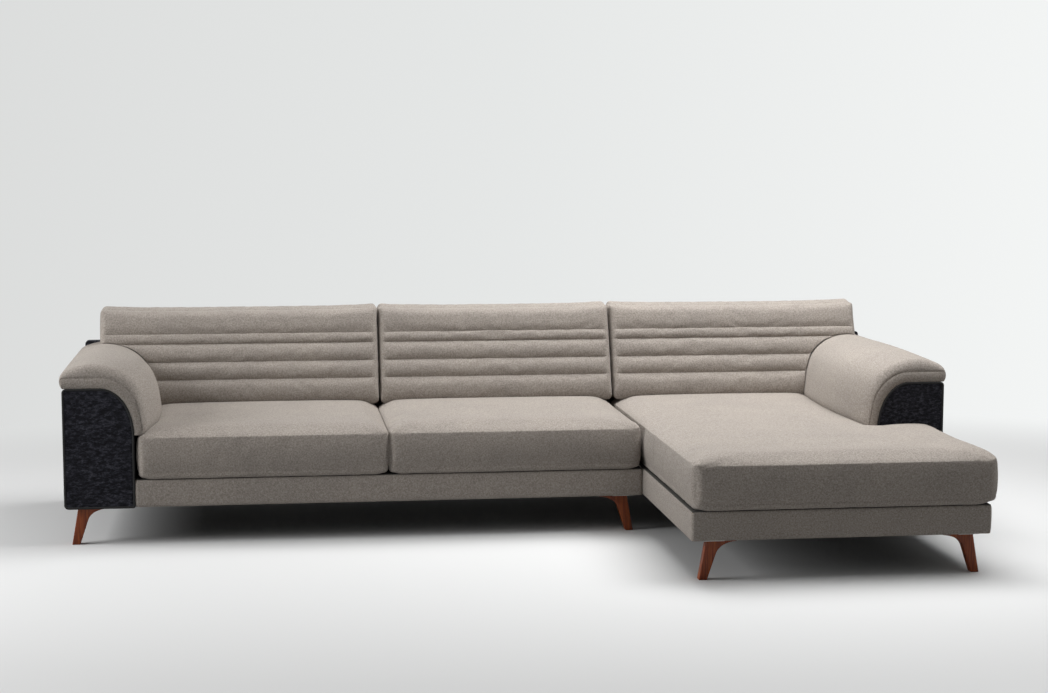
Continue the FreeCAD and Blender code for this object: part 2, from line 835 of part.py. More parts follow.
def arm_body(side, front, mirror):
    """Boards inside an arm, and its cover round them."""
    rear = float(BACK_FRONT)
    front = float(front)
    cover = float(COVER)
    rail = float(RAIL)
    depth = vector(0, rear - front, 0)
    outer = face_of(arm_profile(0, mirror, front)).extrude(depth)
    inside = vector(0, rear - front - 2 * cover, 0)
    hollow = face_of(arm_profile(-cover, mirror, front + cover)).extrude(inside)
    slot = rest_of_hollow(front + cover, rear - cover, mirror)
    shape_node(f"{side}_arm_cover", outer.cut(hollow.fuse(slot)))
    board = face_of(arm_profile(-cover, mirror, front + cover)).extrude(vector(0, rail, 0))
    shape_node(f"{side}_arm_front_board", board)
    board = face_of(arm_profile(-cover, mirror, rear - cover - rail)).extrude(vector(0, rail, 0))
    shape_node(f"{side}_arm_rear_board", board)


def rest_of_hollow(front, rear, mirror):
    """The space under the boards, which opens the cover at the bottom."""
    cover = float(COVER)
    width = float(size("arm_width")) - 2 * cover
    height = float(RAIL_BOTTOM - LEG_TOP) + 1
    low = arm_point(cover, front, float(LEG_TOP) - 1, mirror)
    if mirror:
        low.x -= width
    return Part.makeBox(width, rear - front, height, low)


def arm_bottom_boards():
    """Flat boards that join each arm's front and rear boards, over the leg plates."""
    width = size("arm_width") - 2 * COVER
    thickness = size("board_thickness")
    for label, left, front in (
        ("left_arm_bottom_board", COVER, 0),
        ("right_arm_bottom_board", CHAISE_INNER + COVER, RIGHT_ARM_FRONT),
    ):
        start = front + COVER + RAIL
        box_node(label, (left, start, RAIL_BOTTOM), (width, BACK_FRONT - COVER - RAIL - start, thickness))


def pad_outline(swell, shrink):
    """Points of a pad's outline in section, from its foot on the arm, over its crest, to its belly."""
    width = float(size("arm_width"))
    base = float(ARM_TOP)
    top = base + float(size("pad_thickness")) - shrink
    over = float(size("pad_overhang")) - shrink
    side = width + float(size("pad_side")) + swell - shrink
    roll = width - float(size("pad_roll_inset")) - shrink + swell * PAD_ROLL_SHIFT
    flank = base - float(size("pad_flank_drop")) + swell * PAD_FLANK_RISE
    belly = base - float(size("pad_belly_drop")) + swell * PAD_BELLY_RISE
    foot = float(size("pad_foot_inset")) + shrink / 2
    return [
        (foot, base + float(size("pad_fit") + size("pad_lip_rise"))),
        (-over, top - float(size("pad_tip_drop"))),
        (-over * PAD_EDGE, top),
        (width * PAD_CREST, top + float(size("pad_crown")) + swell * PAD_RISE),
        (roll, top - float(size("pad_roll_drop")) + swell),
        (side - float(size("pad_flank_inset")), flank),
        (side, belly),
    ]


def pad_section(y, mirror, swell, shrink):
    """One section of the pad that caps the arm and rolls down its inner side."""
    fit = float(size("pad_fit"))
    width = float(size("arm_width"))
    root_x, root_z = shoulder_point(0, fit)
    root_z += float(size("pad_lip_rise")) + shrink

    def at(x, z):
        return arm_point(x, y, z, mirror)

    outline = pad_outline(swell, shrink)
    foot, tip, edge, crest, roll, flank, belly = [at(*point) for point in outline]
    lip_x = width + (outline[-1][0] - width) * PAD_LIP
    lip = at(lip_x, root_z + float(size("pad_lip_round")) + swell * PAD_LIP_RISE)
    root = at(root_x, root_z)
    low_bend, middle, high_bend, end = [at(*shoulder_point(turn, fit)) for turn in (24, 45, 67.5, 90)]
    return Part.Wire([
        arc(foot, tip, edge),
        arc(edge, crest, roll),
        arc(roll, flank, belly),
        arc(belly, lip, root),
        arc(root, low_bend, middle),
        arc(middle, high_bend, end),
        line(end, foot),
    ])


def arm_pad(side, front, mirror):
    """The padded cap of an arm, fuller in the middle of its length than at its ends."""
    front = float(front)
    length = float(BACK_FRONT) - front
    swell = float(size("pad_swell"))
    wires = []
    for share, rise, shrink in PAD_STATIONS:
        wires.append(pad_section(front + share * length, mirror, swell * rise, shrink))
    shape_node(f"{side}_arm_pad", Part.makeLoft(wires, True, True))


# Seat cushions.

def cushion_section(y, low, high, base, top, crown, draw, shrink):
    """One upright section of a boxed seat cushion: flat below, sides drawn in, crowned above."""
    left = low + draw + shrink
    right = high - draw - shrink
    base = base + shrink * 0.3
    top = top - shrink
    foot = float(size("seat_bottom_corner"))
    edge = float(size("seat_corner"))
    bulge = float(size("seat_waist"))
    half = math.sqrt(0.5)

    def at(x, z):
        return vector(x, y, z)

    def corner(x, z, radius, side, up):
        reach = radius * (1 - half)
        return at(x - side * reach, z - up * reach)

    middle = (left + right) / 2
    waist = (base + top) / 2
    return Part.Wire([
        line(at(left + foot, base), at(right - foot, base)),
        arc(at(right - foot, base), corner(right, base, foot, 1, -1), at(right, base + foot)),
        arc(at(right, base + foot), at(right + bulge, waist), at(right, top - edge)),
        arc(at(right, top - edge), corner(right, top, edge, 1, 1), at(right - edge, top)),
        arc(at(right - edge, top), at(middle, top + crown), at(left + edge, top)),
        arc(at(left + edge, top), corner(left, top, edge, -1, 1), at(left, top - edge)),
        arc(at(left, top - edge), at(left - bulge, waist), at(left, base + foot)),
        arc(at(left, base + foot), corner(left, base, foot, -1, -1), at(left + foot, base)),
    ])


def seat_stations(front, rear):
    """Sections of a seat cushion, front to rear: place, shares of crown and side draw, and edge inset."""
    length = rear - front
    seat = back_foot() - front
    if seat > length - SEAT_REAR[0]:
        seat = length * SEAT_REAR_SHARE
    stations = list(SEAT_END) + [SEAT_FRONT]
    middle = [(length * share, rise, pull, 0) for share, rise, pull in SEAT_MIDDLE]
    stations += [station for station in middle if station[0] > SEAT_FRONT[0]]
    stations.append((seat, REAR_CROWN, SEAT_REAR_DRAW, 0))
    ends = [SEAT_REAR] + list(reversed(SEAT_END))
    stations += [(length - place, rise, pull, shrink) for place, rise, pull, shrink in ends]
    return [(front + place, rise, pull, shrink) for place, rise, pull, shrink in stations]


def seat_cushion(label, low, sections):
    """A crowned cushion on the seat deck; each section is a place, the right side there and its shares."""
    low = float(low)
    base = float(PLINTH_TOP + size("rest_gap"))
    top = float(SEAM_TOP)
    crown = float(size("seat_crown"))
    draw = float(size("seat_draw"))
    wires = []
    for place, high, rise, pull, shrink in sections:
        wire = cushion_section(place, low, high, base, top, crown * rise, draw * pull, shrink)
        wires.append(wire)
    shape_node(label, Part.makeLoft(wires, True, True))


def seat_cushions():
    """Two seat cushions, and the chaise cushion that widens in front of the right arm."""
    gap = size("cushion_gap")
    rear = float(CUSHION_REAR)
    front = -float(size("seat_front_bulge"))
    for label, low, high in (
        ("seat_cushion_left", SEAT_LEFT, SEAT_SPLIT),
        ("seat_cushion_center", SEAT_SPLIT, MODULE_SPLIT),
    ):
        right = float(high - gap)
        stations = seat_stations(front, rear)
        seat_cushion(label, low + gap, [(place, right, *shares) for place, *shares in stations])
    step = float(RIGHT_ARM_FRONT - 2 * gap)
    narrow = float(CHAISE_INNER - gap)
    wide = float(PLINTH_RIGHT + size("side_overlap"))
    sections = [(step, narrow, 1, 1, 0)]
    sections += [(step - distance, wide - inset, 1, 1, 0) for distance, inset in STEP_END]
    for place, *shares in seat_stations(float(CHAISE_CUSHION_FRONT), rear):
        if abs(place - step) > STEP_CLEAR:
            sections.append((place, narrow if place > step else wide, *shares))
    seat_cushion("chaise_cushion", MODULE_SPLIT + gap, sorted(sections))


# Back cushions.

def rest_plane(z):
    """How far back a cushion's rear may lie at a height: on the webs, and upright above the posts."""
    rise = (min(z, float(POST_TOP)) - float(RAIL_TOP)) / float(POST_TOP - RAIL_TOP)
    front = float(POST_FOOT) + rise * float(BACK_FRONT - POST_FOOT)
    return front - float(size("web_thickness")) - float(size("rest_gap"))


def back_foot():
    """The front of a back cushion where it stands on the seat."""
    return rest_plane(float(BACK_SEAT)) - float(size("back_cushion_depth"))


def back_section(x, groove, swell, dip, shrink):
    """One upright section of a back cushion: four sewn channels across its leaning front."""
    bottom = float(BACK_SEAT)
    height = float(size("back_cushion_height"))
    lean = float(size("back_lean")) / height
    front = back_foot()
    top = bottom + height - dip - shrink
    steps = [float(size(name)) for name in ("channel_one", "channel_two", "channel_three", "channel_four")]
    levels = [bottom + shrink]
    seam = bottom
    for step in steps:
        seam += step
        levels.append(seam)
    levels.append(top - float(size("back_top_round")))

    def face(z):
        return front + (z - bottom) * lean + shrink

    def at(y, z):
        return vector(x, y, z)

    last = len(levels) - 1
    points = []
    for index, z in enumerate(levels):
        inward = groove if 0 < index < last else 0
        points.append(at(face(z) + inward, z))
    points[0] = at(face(levels[0]) + float(size("back_foot_round")), levels[0])
    edges = []
    for index in range(last):
        z = (levels[index] + levels[index + 1]) / 2
        edges.append(arc(points[index], at(face(z) - swell, z), points[index + 1]))
    soft = float(size("back_rear_round"))
    rear_top = at(rest_plane(top) - shrink - soft, levels[-1] - soft)
    rear_bend = at(rest_plane(top) - shrink, float(POST_TOP))
    rear_foot = at(rest_plane(levels[0]) - shrink, levels[0])
    crest = at((points[-1].y + rear_top.y) / 2, top)
    edges.append(arc(points[-1], crest, rear_top))
    edges.append(line(rear_top, rear_bend))
    edges.append(line(rear_bend, rear_foot))
    edges.append(line(rear_foot, points[0]))
    return Part.Wire(edges)


def back_cushion(low, high):
    """A back cushion between two X places, its channels fading out just before its ends."""
    low = float(low)
    high = float(high)
    groove = float(size("channel_depth"))
    swell = float(size("channel_swell"))
    dip = float(size("back_dip"))
    stations = [(low + place, *shares) for place, *shares in BACK_END]
    stations.append(((low + high) / 2, *BACK_MIDDLE, 0))
    stations += [(high - place, *shares) for place, *shares in reversed(BACK_END)]
    wires = []
    for x, depth, puff, sag, shrink in stations:
        wires.append(back_section(x, groove * depth, swell * puff, dip * sag, shrink))
    return Part.makeLoft(wires, True, True)


def arm_notch(mirror):
    """The space that an arm and its pad take up under a back cushion, open below and outward."""
    swell = PAD_REAR_SWELL * float(size("pad_swell"))
    gap = float(size("notch_gap"))
    front = back_foot() - 2 * float(size("channel_swell")) - gap
    _, _, edge, crest, roll, flank, belly = pad_outline(swell, -gap)
    outside = edge[0] - gap
    bottom = float(LEG_TOP)

    def at(point):
        return arm_point(point[0], front, point[1], mirror)

    outline = [
        line(at((outside, bottom)), at((outside, edge[1]))),
        line(at((outside, edge[1])), at(edge)),
        arc(at(edge), at(crest), at(roll)),
        arc(at(roll), at(flank), at(belly)),
        line(at(belly), at((belly[0], bottom))),
        line(at((belly[0], bottom)), at((outside, bottom))),
    ]
    return face_of(outline).extrude(vector(0, float(BACK_REAR) - front, 0))


def back_cushions():
    """Three back cushions; the outer two reach over the rear of the arms."""
    half = size("back_cushion_gap") / 2
    split = SEAT_SPLIT + size("back_split_shift")
    left = back_cushion(size("back_left_inset"), split - half)
    shape_node("back_cushion_left", left.cut(arm_notch(False)))
    shape_node("back_cushion_center", back_cushion(split + half, MODULE_SPLIT - half))
    right = back_cushion(MODULE_SPLIT + half, SOFA_RIGHT - size("back_right_inset"))
    shape_node("back_cushion_right", right.cut(arm_notch(True)))


# Hooks that hold the two modules together: lifting the chaise frees them.

def module_hooks():
    """Bent steel strips under the frames: the sofa's lip turns up, and the chaise's lip drops behind it."""
    thick = size("hook_thickness")
    gap = size("hook_gap")
    flange = size("hook_flange")
    top = RAIL_BOTTOM - size("dust_thickness")
    low = LEG_TOP - size("hook_drop")
    web = MODULE_SPLIT - COVER - RAIL
    tip = MODULE_SPLIT + COVER + size("hook_reach") + thick
    socket = [
        (web - flange, top - thick), (web - thick, top - thick), (web - thick, low), (tip, low),
        (tip, top - thick - gap), (tip - thick, top - thick - gap), (tip - thick, low + thick),
        (web, low + thick), (web, top), (web - flange, top),
    ]
    tongue = [
        (tip - 2 * thick - gap, low + thick + gap), (tip - thick - gap, low + thick + gap),
        (tip - thick - gap, top - thick), (tip + flange, top - thick),
        (tip + flange, top), (tip - 2 * thick - gap, top),
    ]
    width = size("hook_width")
    places = [COVER + RAIL + size("hook_inset"), BACK_FRONT - size("hook_inset") - width]
    for label, outline in (("sofa_hook_sockets", socket), ("chaise_hooks", tongue)):
        strips = []
        for index, y in enumerate(places):
            strips.append(padded_body(f"{label}_{index}", "XZ_Plane", [outline], -y - width, width))
        group_node(label, strips)


def check_model():
    """Stop if any object failed or any piece is empty or broken."""
    document.recompute()
    failed = [item.Name for item in document.Objects if {"Invalid", "Error"} & set(item.State)]
    broken = [item.Label for item in NODES if item.Shape.isNull() or not item.Shape.isValid()]
    if failed or broken:
        raise SystemExit(f"failed objects: {failed}; broken pieces: {broken}")


def write_parts():
    """One STEP file for each piece, named after its label."""
    os.makedirs("parts", exist_ok=True)
    for item in NODES:
        item.Shape.exportStep(os.path.join("parts", item.Label + ".step"))


sofa_frame()
chaise_frame()
sofa_springs()
chaise_springs()
seat_decks()
plinth_covers()
dust_covers()
for part in ("sofa", "chaise"):
    leg_plates(f"{part}_leg_plates", plate_corners(part))
    leg_screws(f"{part}_leg_screws", plate_corners(part))
legs()
backs()
arm_body("left", 0, False)
arm_body("right", RIGHT_ARM_FRONT, True)
arm_bottom_boards()
arm_pad("left", 0, False)
arm_pad("right", RIGHT_ARM_FRONT, True)
seat_cushions()
back_cushions()
module_hooks()
check_model()
write_parts()
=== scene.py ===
import math

import bmesh
import bpy
import numpy as np
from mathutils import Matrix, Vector


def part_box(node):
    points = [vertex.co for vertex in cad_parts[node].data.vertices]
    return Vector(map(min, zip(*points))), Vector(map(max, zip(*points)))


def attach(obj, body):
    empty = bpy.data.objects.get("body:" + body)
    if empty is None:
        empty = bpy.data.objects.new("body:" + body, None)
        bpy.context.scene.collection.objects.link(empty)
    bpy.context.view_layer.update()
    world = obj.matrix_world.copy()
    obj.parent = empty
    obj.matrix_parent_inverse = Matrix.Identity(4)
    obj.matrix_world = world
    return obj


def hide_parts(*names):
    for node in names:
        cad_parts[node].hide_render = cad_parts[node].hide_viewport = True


# The looks of a sectional sofa with a chaise: taupe melange cushions and arm pads, charcoal tweed arms and
# backs, cherry-stained legs. Lengths are metres in the sofa's own frame: +X right, +Y back, Z = 0 the floor.

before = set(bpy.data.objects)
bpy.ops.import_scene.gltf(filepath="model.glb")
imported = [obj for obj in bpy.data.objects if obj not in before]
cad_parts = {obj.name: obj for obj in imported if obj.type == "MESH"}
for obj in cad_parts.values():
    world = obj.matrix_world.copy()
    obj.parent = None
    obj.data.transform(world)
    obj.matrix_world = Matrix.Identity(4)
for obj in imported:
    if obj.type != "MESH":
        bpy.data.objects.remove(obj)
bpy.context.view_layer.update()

MM = 0.001
SOFA = "sofa_module"
CHAISE = "chaise_module"

# Main levels and places, read from the frame.
sofa_low, sofa_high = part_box("sofa_plinth_cover")
chaise_low, chaise_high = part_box("chaise_plinth_cover")
arm_low, arm_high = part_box("left_arm_cover")
right_low, right_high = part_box("right_arm_cover")
LEG_TOP = sofa_low.z
PLINTH_TOP = sofa_high.z
SEAM_TOP = PLINTH_TOP + 152 * MM
SEAT_BASE = PLINTH_TOP + 0.6 * MM


def mm(*values):
    return tuple(value * MM for value in values)


columns = np.column_stack


def lengths(vectors):
    return np.linalg.norm(vectors, axis=1)


def clamp(x):
    return np.clip(x, 0, 1)


def smooth(x):
    """0 below 0, 1 above 1, with level ends."""
    x = clamp(x)
    return x * x * (3 - 2 * x)


def ripple(points, wavelength, seed):
    """Smooth noise from -1 to 1, the same in every run, at points in metres."""
    source = np.random.default_rng(seed)
    total = np.zeros(len(points))
    count = 9
    for _ in range(count):
        direction = source.normal(size=3)
        direction /= np.linalg.norm(direction)
        length = wavelength * source.uniform(0.7, 1.6)
        phase = source.uniform(0, 2 * math.pi)
        total += np.sin(points @ direction * (2 * math.pi / length) + phase)
    return total / (count * 0.55)


def waver(points, waves, size):
    """Move points a little in plan, by one ripple for each way."""
    points[:, :2] += columns([ripple(points, *wave) for wave in waves]) * size


# Materials.

class Graph:
    """A short way to write the nodes of a material, or of the world that owns them."""

    def __init__(self, name, owner=None):
        self.material = owner or bpy.data.materials.new(name)
        self.material.use_nodes = True
        self.tree = self.material.node_tree
        self.shader = self.tree.nodes.get("Principled BSDF")

    def node(self, kind, inputs=None, **settings):
        item = self.tree.nodes.new("ShaderNode" + kind)
        for key, value in settings.items():
            setattr(item, key, value)
        for key, value in (inputs or {}).items():
            self.plug(value, item.inputs[key])
        return item

    def plug(self, value, socket):
        if isinstance(value, bpy.types.Node):
            value = value.outputs[0]
        if isinstance(value, bpy.types.NodeSocket):
            self.tree.links.new(value, socket)
        else:
            socket.default_value = value

    def finish(self, color, **values):
        """Plug in the colour and the shader's other values, whose names have _ for a space here."""
        self.plug(color, self.shader.inputs["Base Color"])
        for name, value in values.items():
            self.plug(value, self.shader.inputs[name.replace("_", " ")])
        return self.material

    def math(self, operation, a, b=0.0):
        return self.node("Math", {0: a, 1: b}, operation=operation)

    def place(self):
        return self.node("TexCoord").outputs["Object"]

    def split(self, vector):
        return self.node("SeparateXYZ", {0: vector}).outputs

    def stretched(self, scale):
        return self.node("Mapping", {"Vector": self.place(), "Scale": scale})

    def noise(self, scale, detail, roughness, vector=None):
        inputs = {"Vector": vector or self.place(), "Scale": scale, "Detail": detail, "Roughness": roughness}
        return self.node("TexNoise", inputs)

    def grain(self, scale, detail, roughness):
        return self.noise(1.0, detail, roughness, self.stretched(scale))

    def ramp(self, value, stops):
        item = self.node("ValToRGB", {"Fac": value})
        elements = item.color_ramp.elements
        while len(elements) < len(stops):
            elements.new(0.5)
        for element, (position, color) in zip(elements, stops):
            element.position = position
            element.color = (*color, 1.0)
        return item

    def mix(self, factor, a, b, blend="MIX"):
        item = self.node("Mix", {0: factor}, data_type="RGBA", blend_type=blend)
        for index, value in ((6, a), (7, b)):
            self.plug((*value, 1.0) if isinstance(value, tuple) else value, item.inputs[index])
        return item.outputs[2]

    def tinted(self, factor, a, b):
        return self.mix(factor, a, b, "MULTIPLY")

    def share(self, value, low, high, kind="SMOOTHSTEP"):
        """How far a value is from low to high, 0 to 1."""
        inputs = {"Value": value, "From Min": low, "From Max": high}
        return self.node("MapRange", inputs, interpolation_type=kind)

    def scaled(self, value, low, high):
        """A value from 0 to 1 brought to low to high."""
        return self.node("MapRange", {"Value": value, "To Min": low, "To Max": high})

    def bump(self, height, distance, strength, normal=None):
        inputs = {"Height": height, "Distance": distance, "Strength": strength}
        if normal is not None:
            inputs["Normal"] = normal
        return self.node("Bump", inputs)


def weave_height(graph, pitch):
    """A plain weave seen on any of the three main planes: crossing yarns that pass over and under."""
    facing = graph.split(graph.node("NewGeometry").outputs["Normal"])
    waves = []
    for part in graph.split(graph.place()):
        angle = graph.math("MULTIPLY", part, math.pi / pitch)
        waves.append((graph.math("SINE", angle), graph.math("COSINE", angle)))
    total = 0.0
    for axis in range(3):
        first, second = [waves[index] for index in range(3) if index != axis]
        crossing = graph.math("MULTIPLY", first[0], second[0])
        over = graph.math("ABSOLUTE", graph.math("MULTIPLY", first[1], crossing))
        under = graph.math("ABSOLUTE", graph.math("MULTIPLY", second[1], first[0]))
        height = graph.math("ADD", graph.math("ABSOLUTE", crossing), graph.math("MAXIMUM", over, under))
        weight = graph.math("POWER", graph.math("ABSOLUTE", facing[axis]), 3.0)
        total = graph.math("ADD", total, graph.math("MULTIPLY", height, weight))
    return total


WHITE = (1.0, 1.0, 1.0)


def melange_fabric():
    """Taupe wool-like cloth: mixed fibres, a fine plain weave, a soft nap and faint cloudy shading."""
    graph = Graph("taupe_melange")
    fibre = graph.noise(430.0, 3.0, 0.65)
    fleck = graph.noise(190.0, 2.0, 0.55)
    cloud = graph.noise(5.0, 3.0, 0.55)
    base = graph.ramp(fleck, [
        (0.32, (0.262, 0.232, 0.206)), (0.50, (0.338, 0.302, 0.270)), (0.70, (0.415, 0.374, 0.336))])
    thread = graph.ramp(fibre, [(0.34, (0.70, 0.69, 0.68)), (0.52, WHITE), (0.70, (1.24, 1.235, 1.23))])
    shade = graph.ramp(cloud, [(0.30, (0.95, 0.95, 0.955)), (0.70, (1.045, 1.04, 1.035))])
    color = graph.tinted(1.0, graph.tinted(0.75, base, thread), shade)
    yarns = graph.bump(weave_height(graph, 1.9 * MM), 0.45 * MM, 0.55)
    return graph.finish(
        color, Normal=graph.bump(fibre, 0.5 * MM, 0.5, yarns), Roughness=0.93, Specular_IOR_Level=0.22,
        Sheen_Weight=0.18, Sheen_Roughness=0.45, Sheen_Tint=(0.95, 0.91, 0.86, 1.0))


def tweed_fabric():
    """Near-black slub tweed: lighter slubs run level along each face over a dark weave."""
    graph = Graph("charcoal_tweed")
    slub = graph.grain((52.0, 52.0, 118.0), 4.0, 0.75)
    short = graph.grain((130.0, 130.0, 340.0), 3.0, 0.7)
    fibre = graph.noise(600.0, 2.0, 0.6)
    dark = graph.ramp(slub, [
        (0.38, (0.0038, 0.0038, 0.0058)), (0.50, (0.0155, 0.0155, 0.0215)), (0.62, (0.052, 0.053, 0.066))])
    light = graph.ramp(short, [(0.38, (0.50, 0.50, 0.52)), (0.54, WHITE), (0.70, (1.9, 1.9, 2.0))])
    yarns = graph.bump(weave_height(graph, 2.6 * MM), 0.8 * MM, 0.6)
    ridges = graph.bump(slub, 1.6 * MM, 0.55, yarns)
    return graph.finish(
        graph.tinted(0.85, dark, light), Normal=graph.bump(fibre, 0.4 * MM, 0.4, ridges),
        Roughness=0.95, Specular_IOR_Level=0.18, Sheen_Weight=0.04, Sheen_Roughness=0.5)


def piping_fabric():
    """Black piping with the fine diagonal ribs of bias-cut cloth. Its near-black colour is partly the piping's
    own black and partly painted shade from the gap between pad and panel.
    """
    graph = Graph("black_piping")
    inputs = {"Vector": graph.place(), "Scale": 220.0, "Distortion": 1.5}
    ribs = graph.node("TexWave", inputs, bands_direction="DIAGONAL")
    # Near pure black: the piping's own black, darkened further with painted shade from the gap between the arm
    # pad and the tweed panel.
    color = graph.ramp(ribs, [(0.2, (0.0015, 0.0015, 0.0018)), (0.8, (0.005, 0.005, 0.0055))])
    return graph.finish(color, Normal=graph.bump(ribs, 0.3 * MM, 0.5), Roughness=0.8)


def cherry_wood():
    """Red-brown stained wood under satin lacquer, its grain running down the leg."""
    graph = Graph("cherry_wood")
    grain = graph.grain((95.0, 95.0, 7.0), 6.0, 0.62)
    pores = graph.grain((700.0, 700.0, 30.0), 3.0, 0.6)
    rings = graph.node("TexWave", {
        "Vector": graph.stretched((1.0, 1.0, 0.12)), "Scale": 38.0, "Distortion": 5.0, "Detail": 3.0,
        "Detail Scale": 1.4})
    tone = graph.ramp(grain, [
        (0.28, (0.085, 0.0115, 0.0026)), (0.50, (0.235, 0.047, 0.0092)), (0.74, (0.420, 0.110, 0.023))])
    bands = graph.ramp(rings, [(0.1, (0.74, 0.70, 0.68)), (0.7, (1.08, 1.05, 1.03))])
    fleck = graph.ramp(pores, [(0.36, (0.55, 0.5, 0.48)), (0.46, WHITE)])
    return graph.finish(
        graph.tinted(0.6, graph.tinted(0.7, tone, bands), fleck), Normal=graph.bump(pores, 0.15 * MM, 0.35),
        Roughness=graph.scaled(grain, 0.34, 0.48), Specular_IOR_Level=0.35, Coat_Weight=0.12,
        Coat_Roughness=0.25)


def frame_timber():
    """Planed softwood: pale, with long grain and a few darker streaks."""
    graph = Graph("frame_timber")
    grain = graph.grain((8.0, 60.0, 60.0), 5.0, 0.6)
    streak = graph.node("TexWave", {
        "Vector": graph.stretched((0.15, 1.0, 1.0)), "Scale": 24.0, "Distortion": 6.0, "Detail": 2.0})
    tone = graph.ramp(grain, [(0.3, (0.44, 0.28, 0.135)), (0.7, (0.68, 0.50, 0.30))])
    streaks = graph.ramp(streak, [(0.1, (0.80, 0.76, 0.72)), (0.6, WHITE)])
    color = graph.tinted(0.7, tone, streaks)
    return graph.finish(color, Normal=graph.bump(grain, 0.4 * MM, 0.3), Roughness=0.72)


def steel(name, color, roughness):
    """Plated or drawn steel with fine streaks and a few dull patches."""
    graph = Graph(name)
    brushed = graph.grain((40.0, 40.0, 900.0), 2.0, 0.5)
    patch = graph.noise(45.0, 3.0, 0.6)
    dull = tuple(0.72 * part for part in color)
    return graph.finish(
        graph.ramp(patch, [(0.35, dull), (0.65, color)]), Normal=graph.bump(brushed, 0.05 * MM, 0.3),
        Metallic=1.0, Roughness=graph.scaled(patch, roughness, roughness + 0.16))


def lining_cloth(name, low, high, grid):
    """Thin nonwoven or webbing cloth: pressed fibres and a fine regular grid."""
    graph = Graph(name)
    fibre = graph.noise(260.0, 4.0, 0.7)
    net = graph.bump(weave_height(graph, grid), 0.5 * MM, 0.5)
    color = graph.ramp(fibre, [(0.35, low), (0.65, high)])
    return graph.finish(color, Normal=graph.bump(fibre, 0.3 * MM, 0.4, net), Roughness=0.9)


MELANGE = melange_fabric()
TWEED = tweed_fabric()
PIPING = piping_fabric()
CHERRY = cherry_wood()
TIMBER = frame_timber()
SPRING = steel("spring_steel", (0.30, 0.30, 0.31), 0.38)
FITTING = steel("fitting_steel", (0.58, 0.58, 0.56), 0.30)
BLACK_CLOTH = lining_cloth("black_nonwoven", (0.006, 0.006, 0.006), (0.022, 0.022, 0.022), 3.2 * MM)
DECK_CLOTH = lining_cloth("deck_cloth", (0.030, 0.028, 0.026), (0.075, 0.070, 0.064), 2.2 * MM)
WEBBING = lining_cloth("elastic_webbing", (0.20, 0.17, 0.12), (0.42, 0.37, 0.28), 2.8 * MM)

SLOT_MATERIALS = {"cushion_fabric": MELANGE, "tweed": TWEED, "leg_wood": CHERRY}
CAD_FINISHES = (
    # A CAD node takes the first material that has a word of its name.
    (TIMBER, "rail board blocks posts"), (SPRING, "springs"), (FITTING, "plates screws hook"),
    (BLACK_CLOTH, "dust"), (DECK_CLOTH, "deck"), (WEBBING, "webbing"), (CHERRY, "leg"), (TWEED, "cover"),
    (MELANGE, "cushion pad"),
)


def finish_cad_nodes():
    for name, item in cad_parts.items():
        found = [material for material, words in CAD_FINISHES if any(word in name for word in words.split())]
        item.data.materials.clear()
        item.data.materials.append(found[0])


# Mesh building.

def added(name, data):
    item = bpy.data.objects.new(name, data)
    bpy.context.scene.collection.objects.link(item)
    return item


def mesh_piece(name, points, faces, slot, body, node):
    """A smooth-shaded piece from points and faces, riding on a body in place of a CAD node."""
    mesh = bpy.data.meshes.new(name)
    mesh.from_pydata(points.tolist(), [], faces)
    mesh.update()
    mesh.shade_smooth()
    mesh.materials.append(SLOT_MATERIALS[slot])
    piece = added(name, mesh)
    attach(piece, body)
    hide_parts(node)
    return piece


def coordinates(mesh):
    values = np.empty(len(mesh.vertices) * 3)
    mesh.vertices.foreach_get("co", values)
    return values.reshape(-1, 3)


def weld(piece):
    """Join points that lie on each other."""
    work = bmesh.new()
    work.from_mesh(piece.data)
    bmesh.ops.remove_doubles(work, verts=work.verts, dist=0.05 * MM)
    bmesh.ops.recalc_face_normals(work, faces=work.faces)
    work.to_mesh(piece.data)
    work.free()
    piece.data.shade_smooth()


def grid_faces(rows, count, closed=False):
    """Quads between rows of points laid one after another; closed joins the last row to the first."""
    faces = []
    for row in range(rows if closed else rows - 1):
        upper, lower = row * count, (row + 1) % rows * count
        faces += [[upper + i, upper + i + 1, lower + i + 1, lower + i] for i in range(count - 1)]
    return faces


def flipped(faces):
    return [item[::-1] for item in faces]


def quarter(*degrees):
    """The sine and what is left of the cosine at each angle, for rolled edges."""
    return [(math.sin(math.radians(item)), 1 - math.cos(math.radians(item))) for item in degrees]


EDGE_STEPS = np.array([0, 1.5, 3.5, 6.5, 11, 17, 25, 35]) * MM
EDGE_REACH = 48 * MM
GRID_STEP = 17 * MM


def graded(*stops):
    """Places from the first stop to the last, closer together on both sides of each stop."""
    places = []
    for low, high in zip(stops, stops[1:]):
        first, final = low + EDGE_REACH, high - EDGE_REACH
        count = max(2, round((final - first) / GRID_STEP))
        part = [*(low + EDGE_STEPS), *np.linspace(first, final, count + 1), *(high - EDGE_STEPS)[::-1]]
        places += part[1:] if places else part
    return np.array(places)


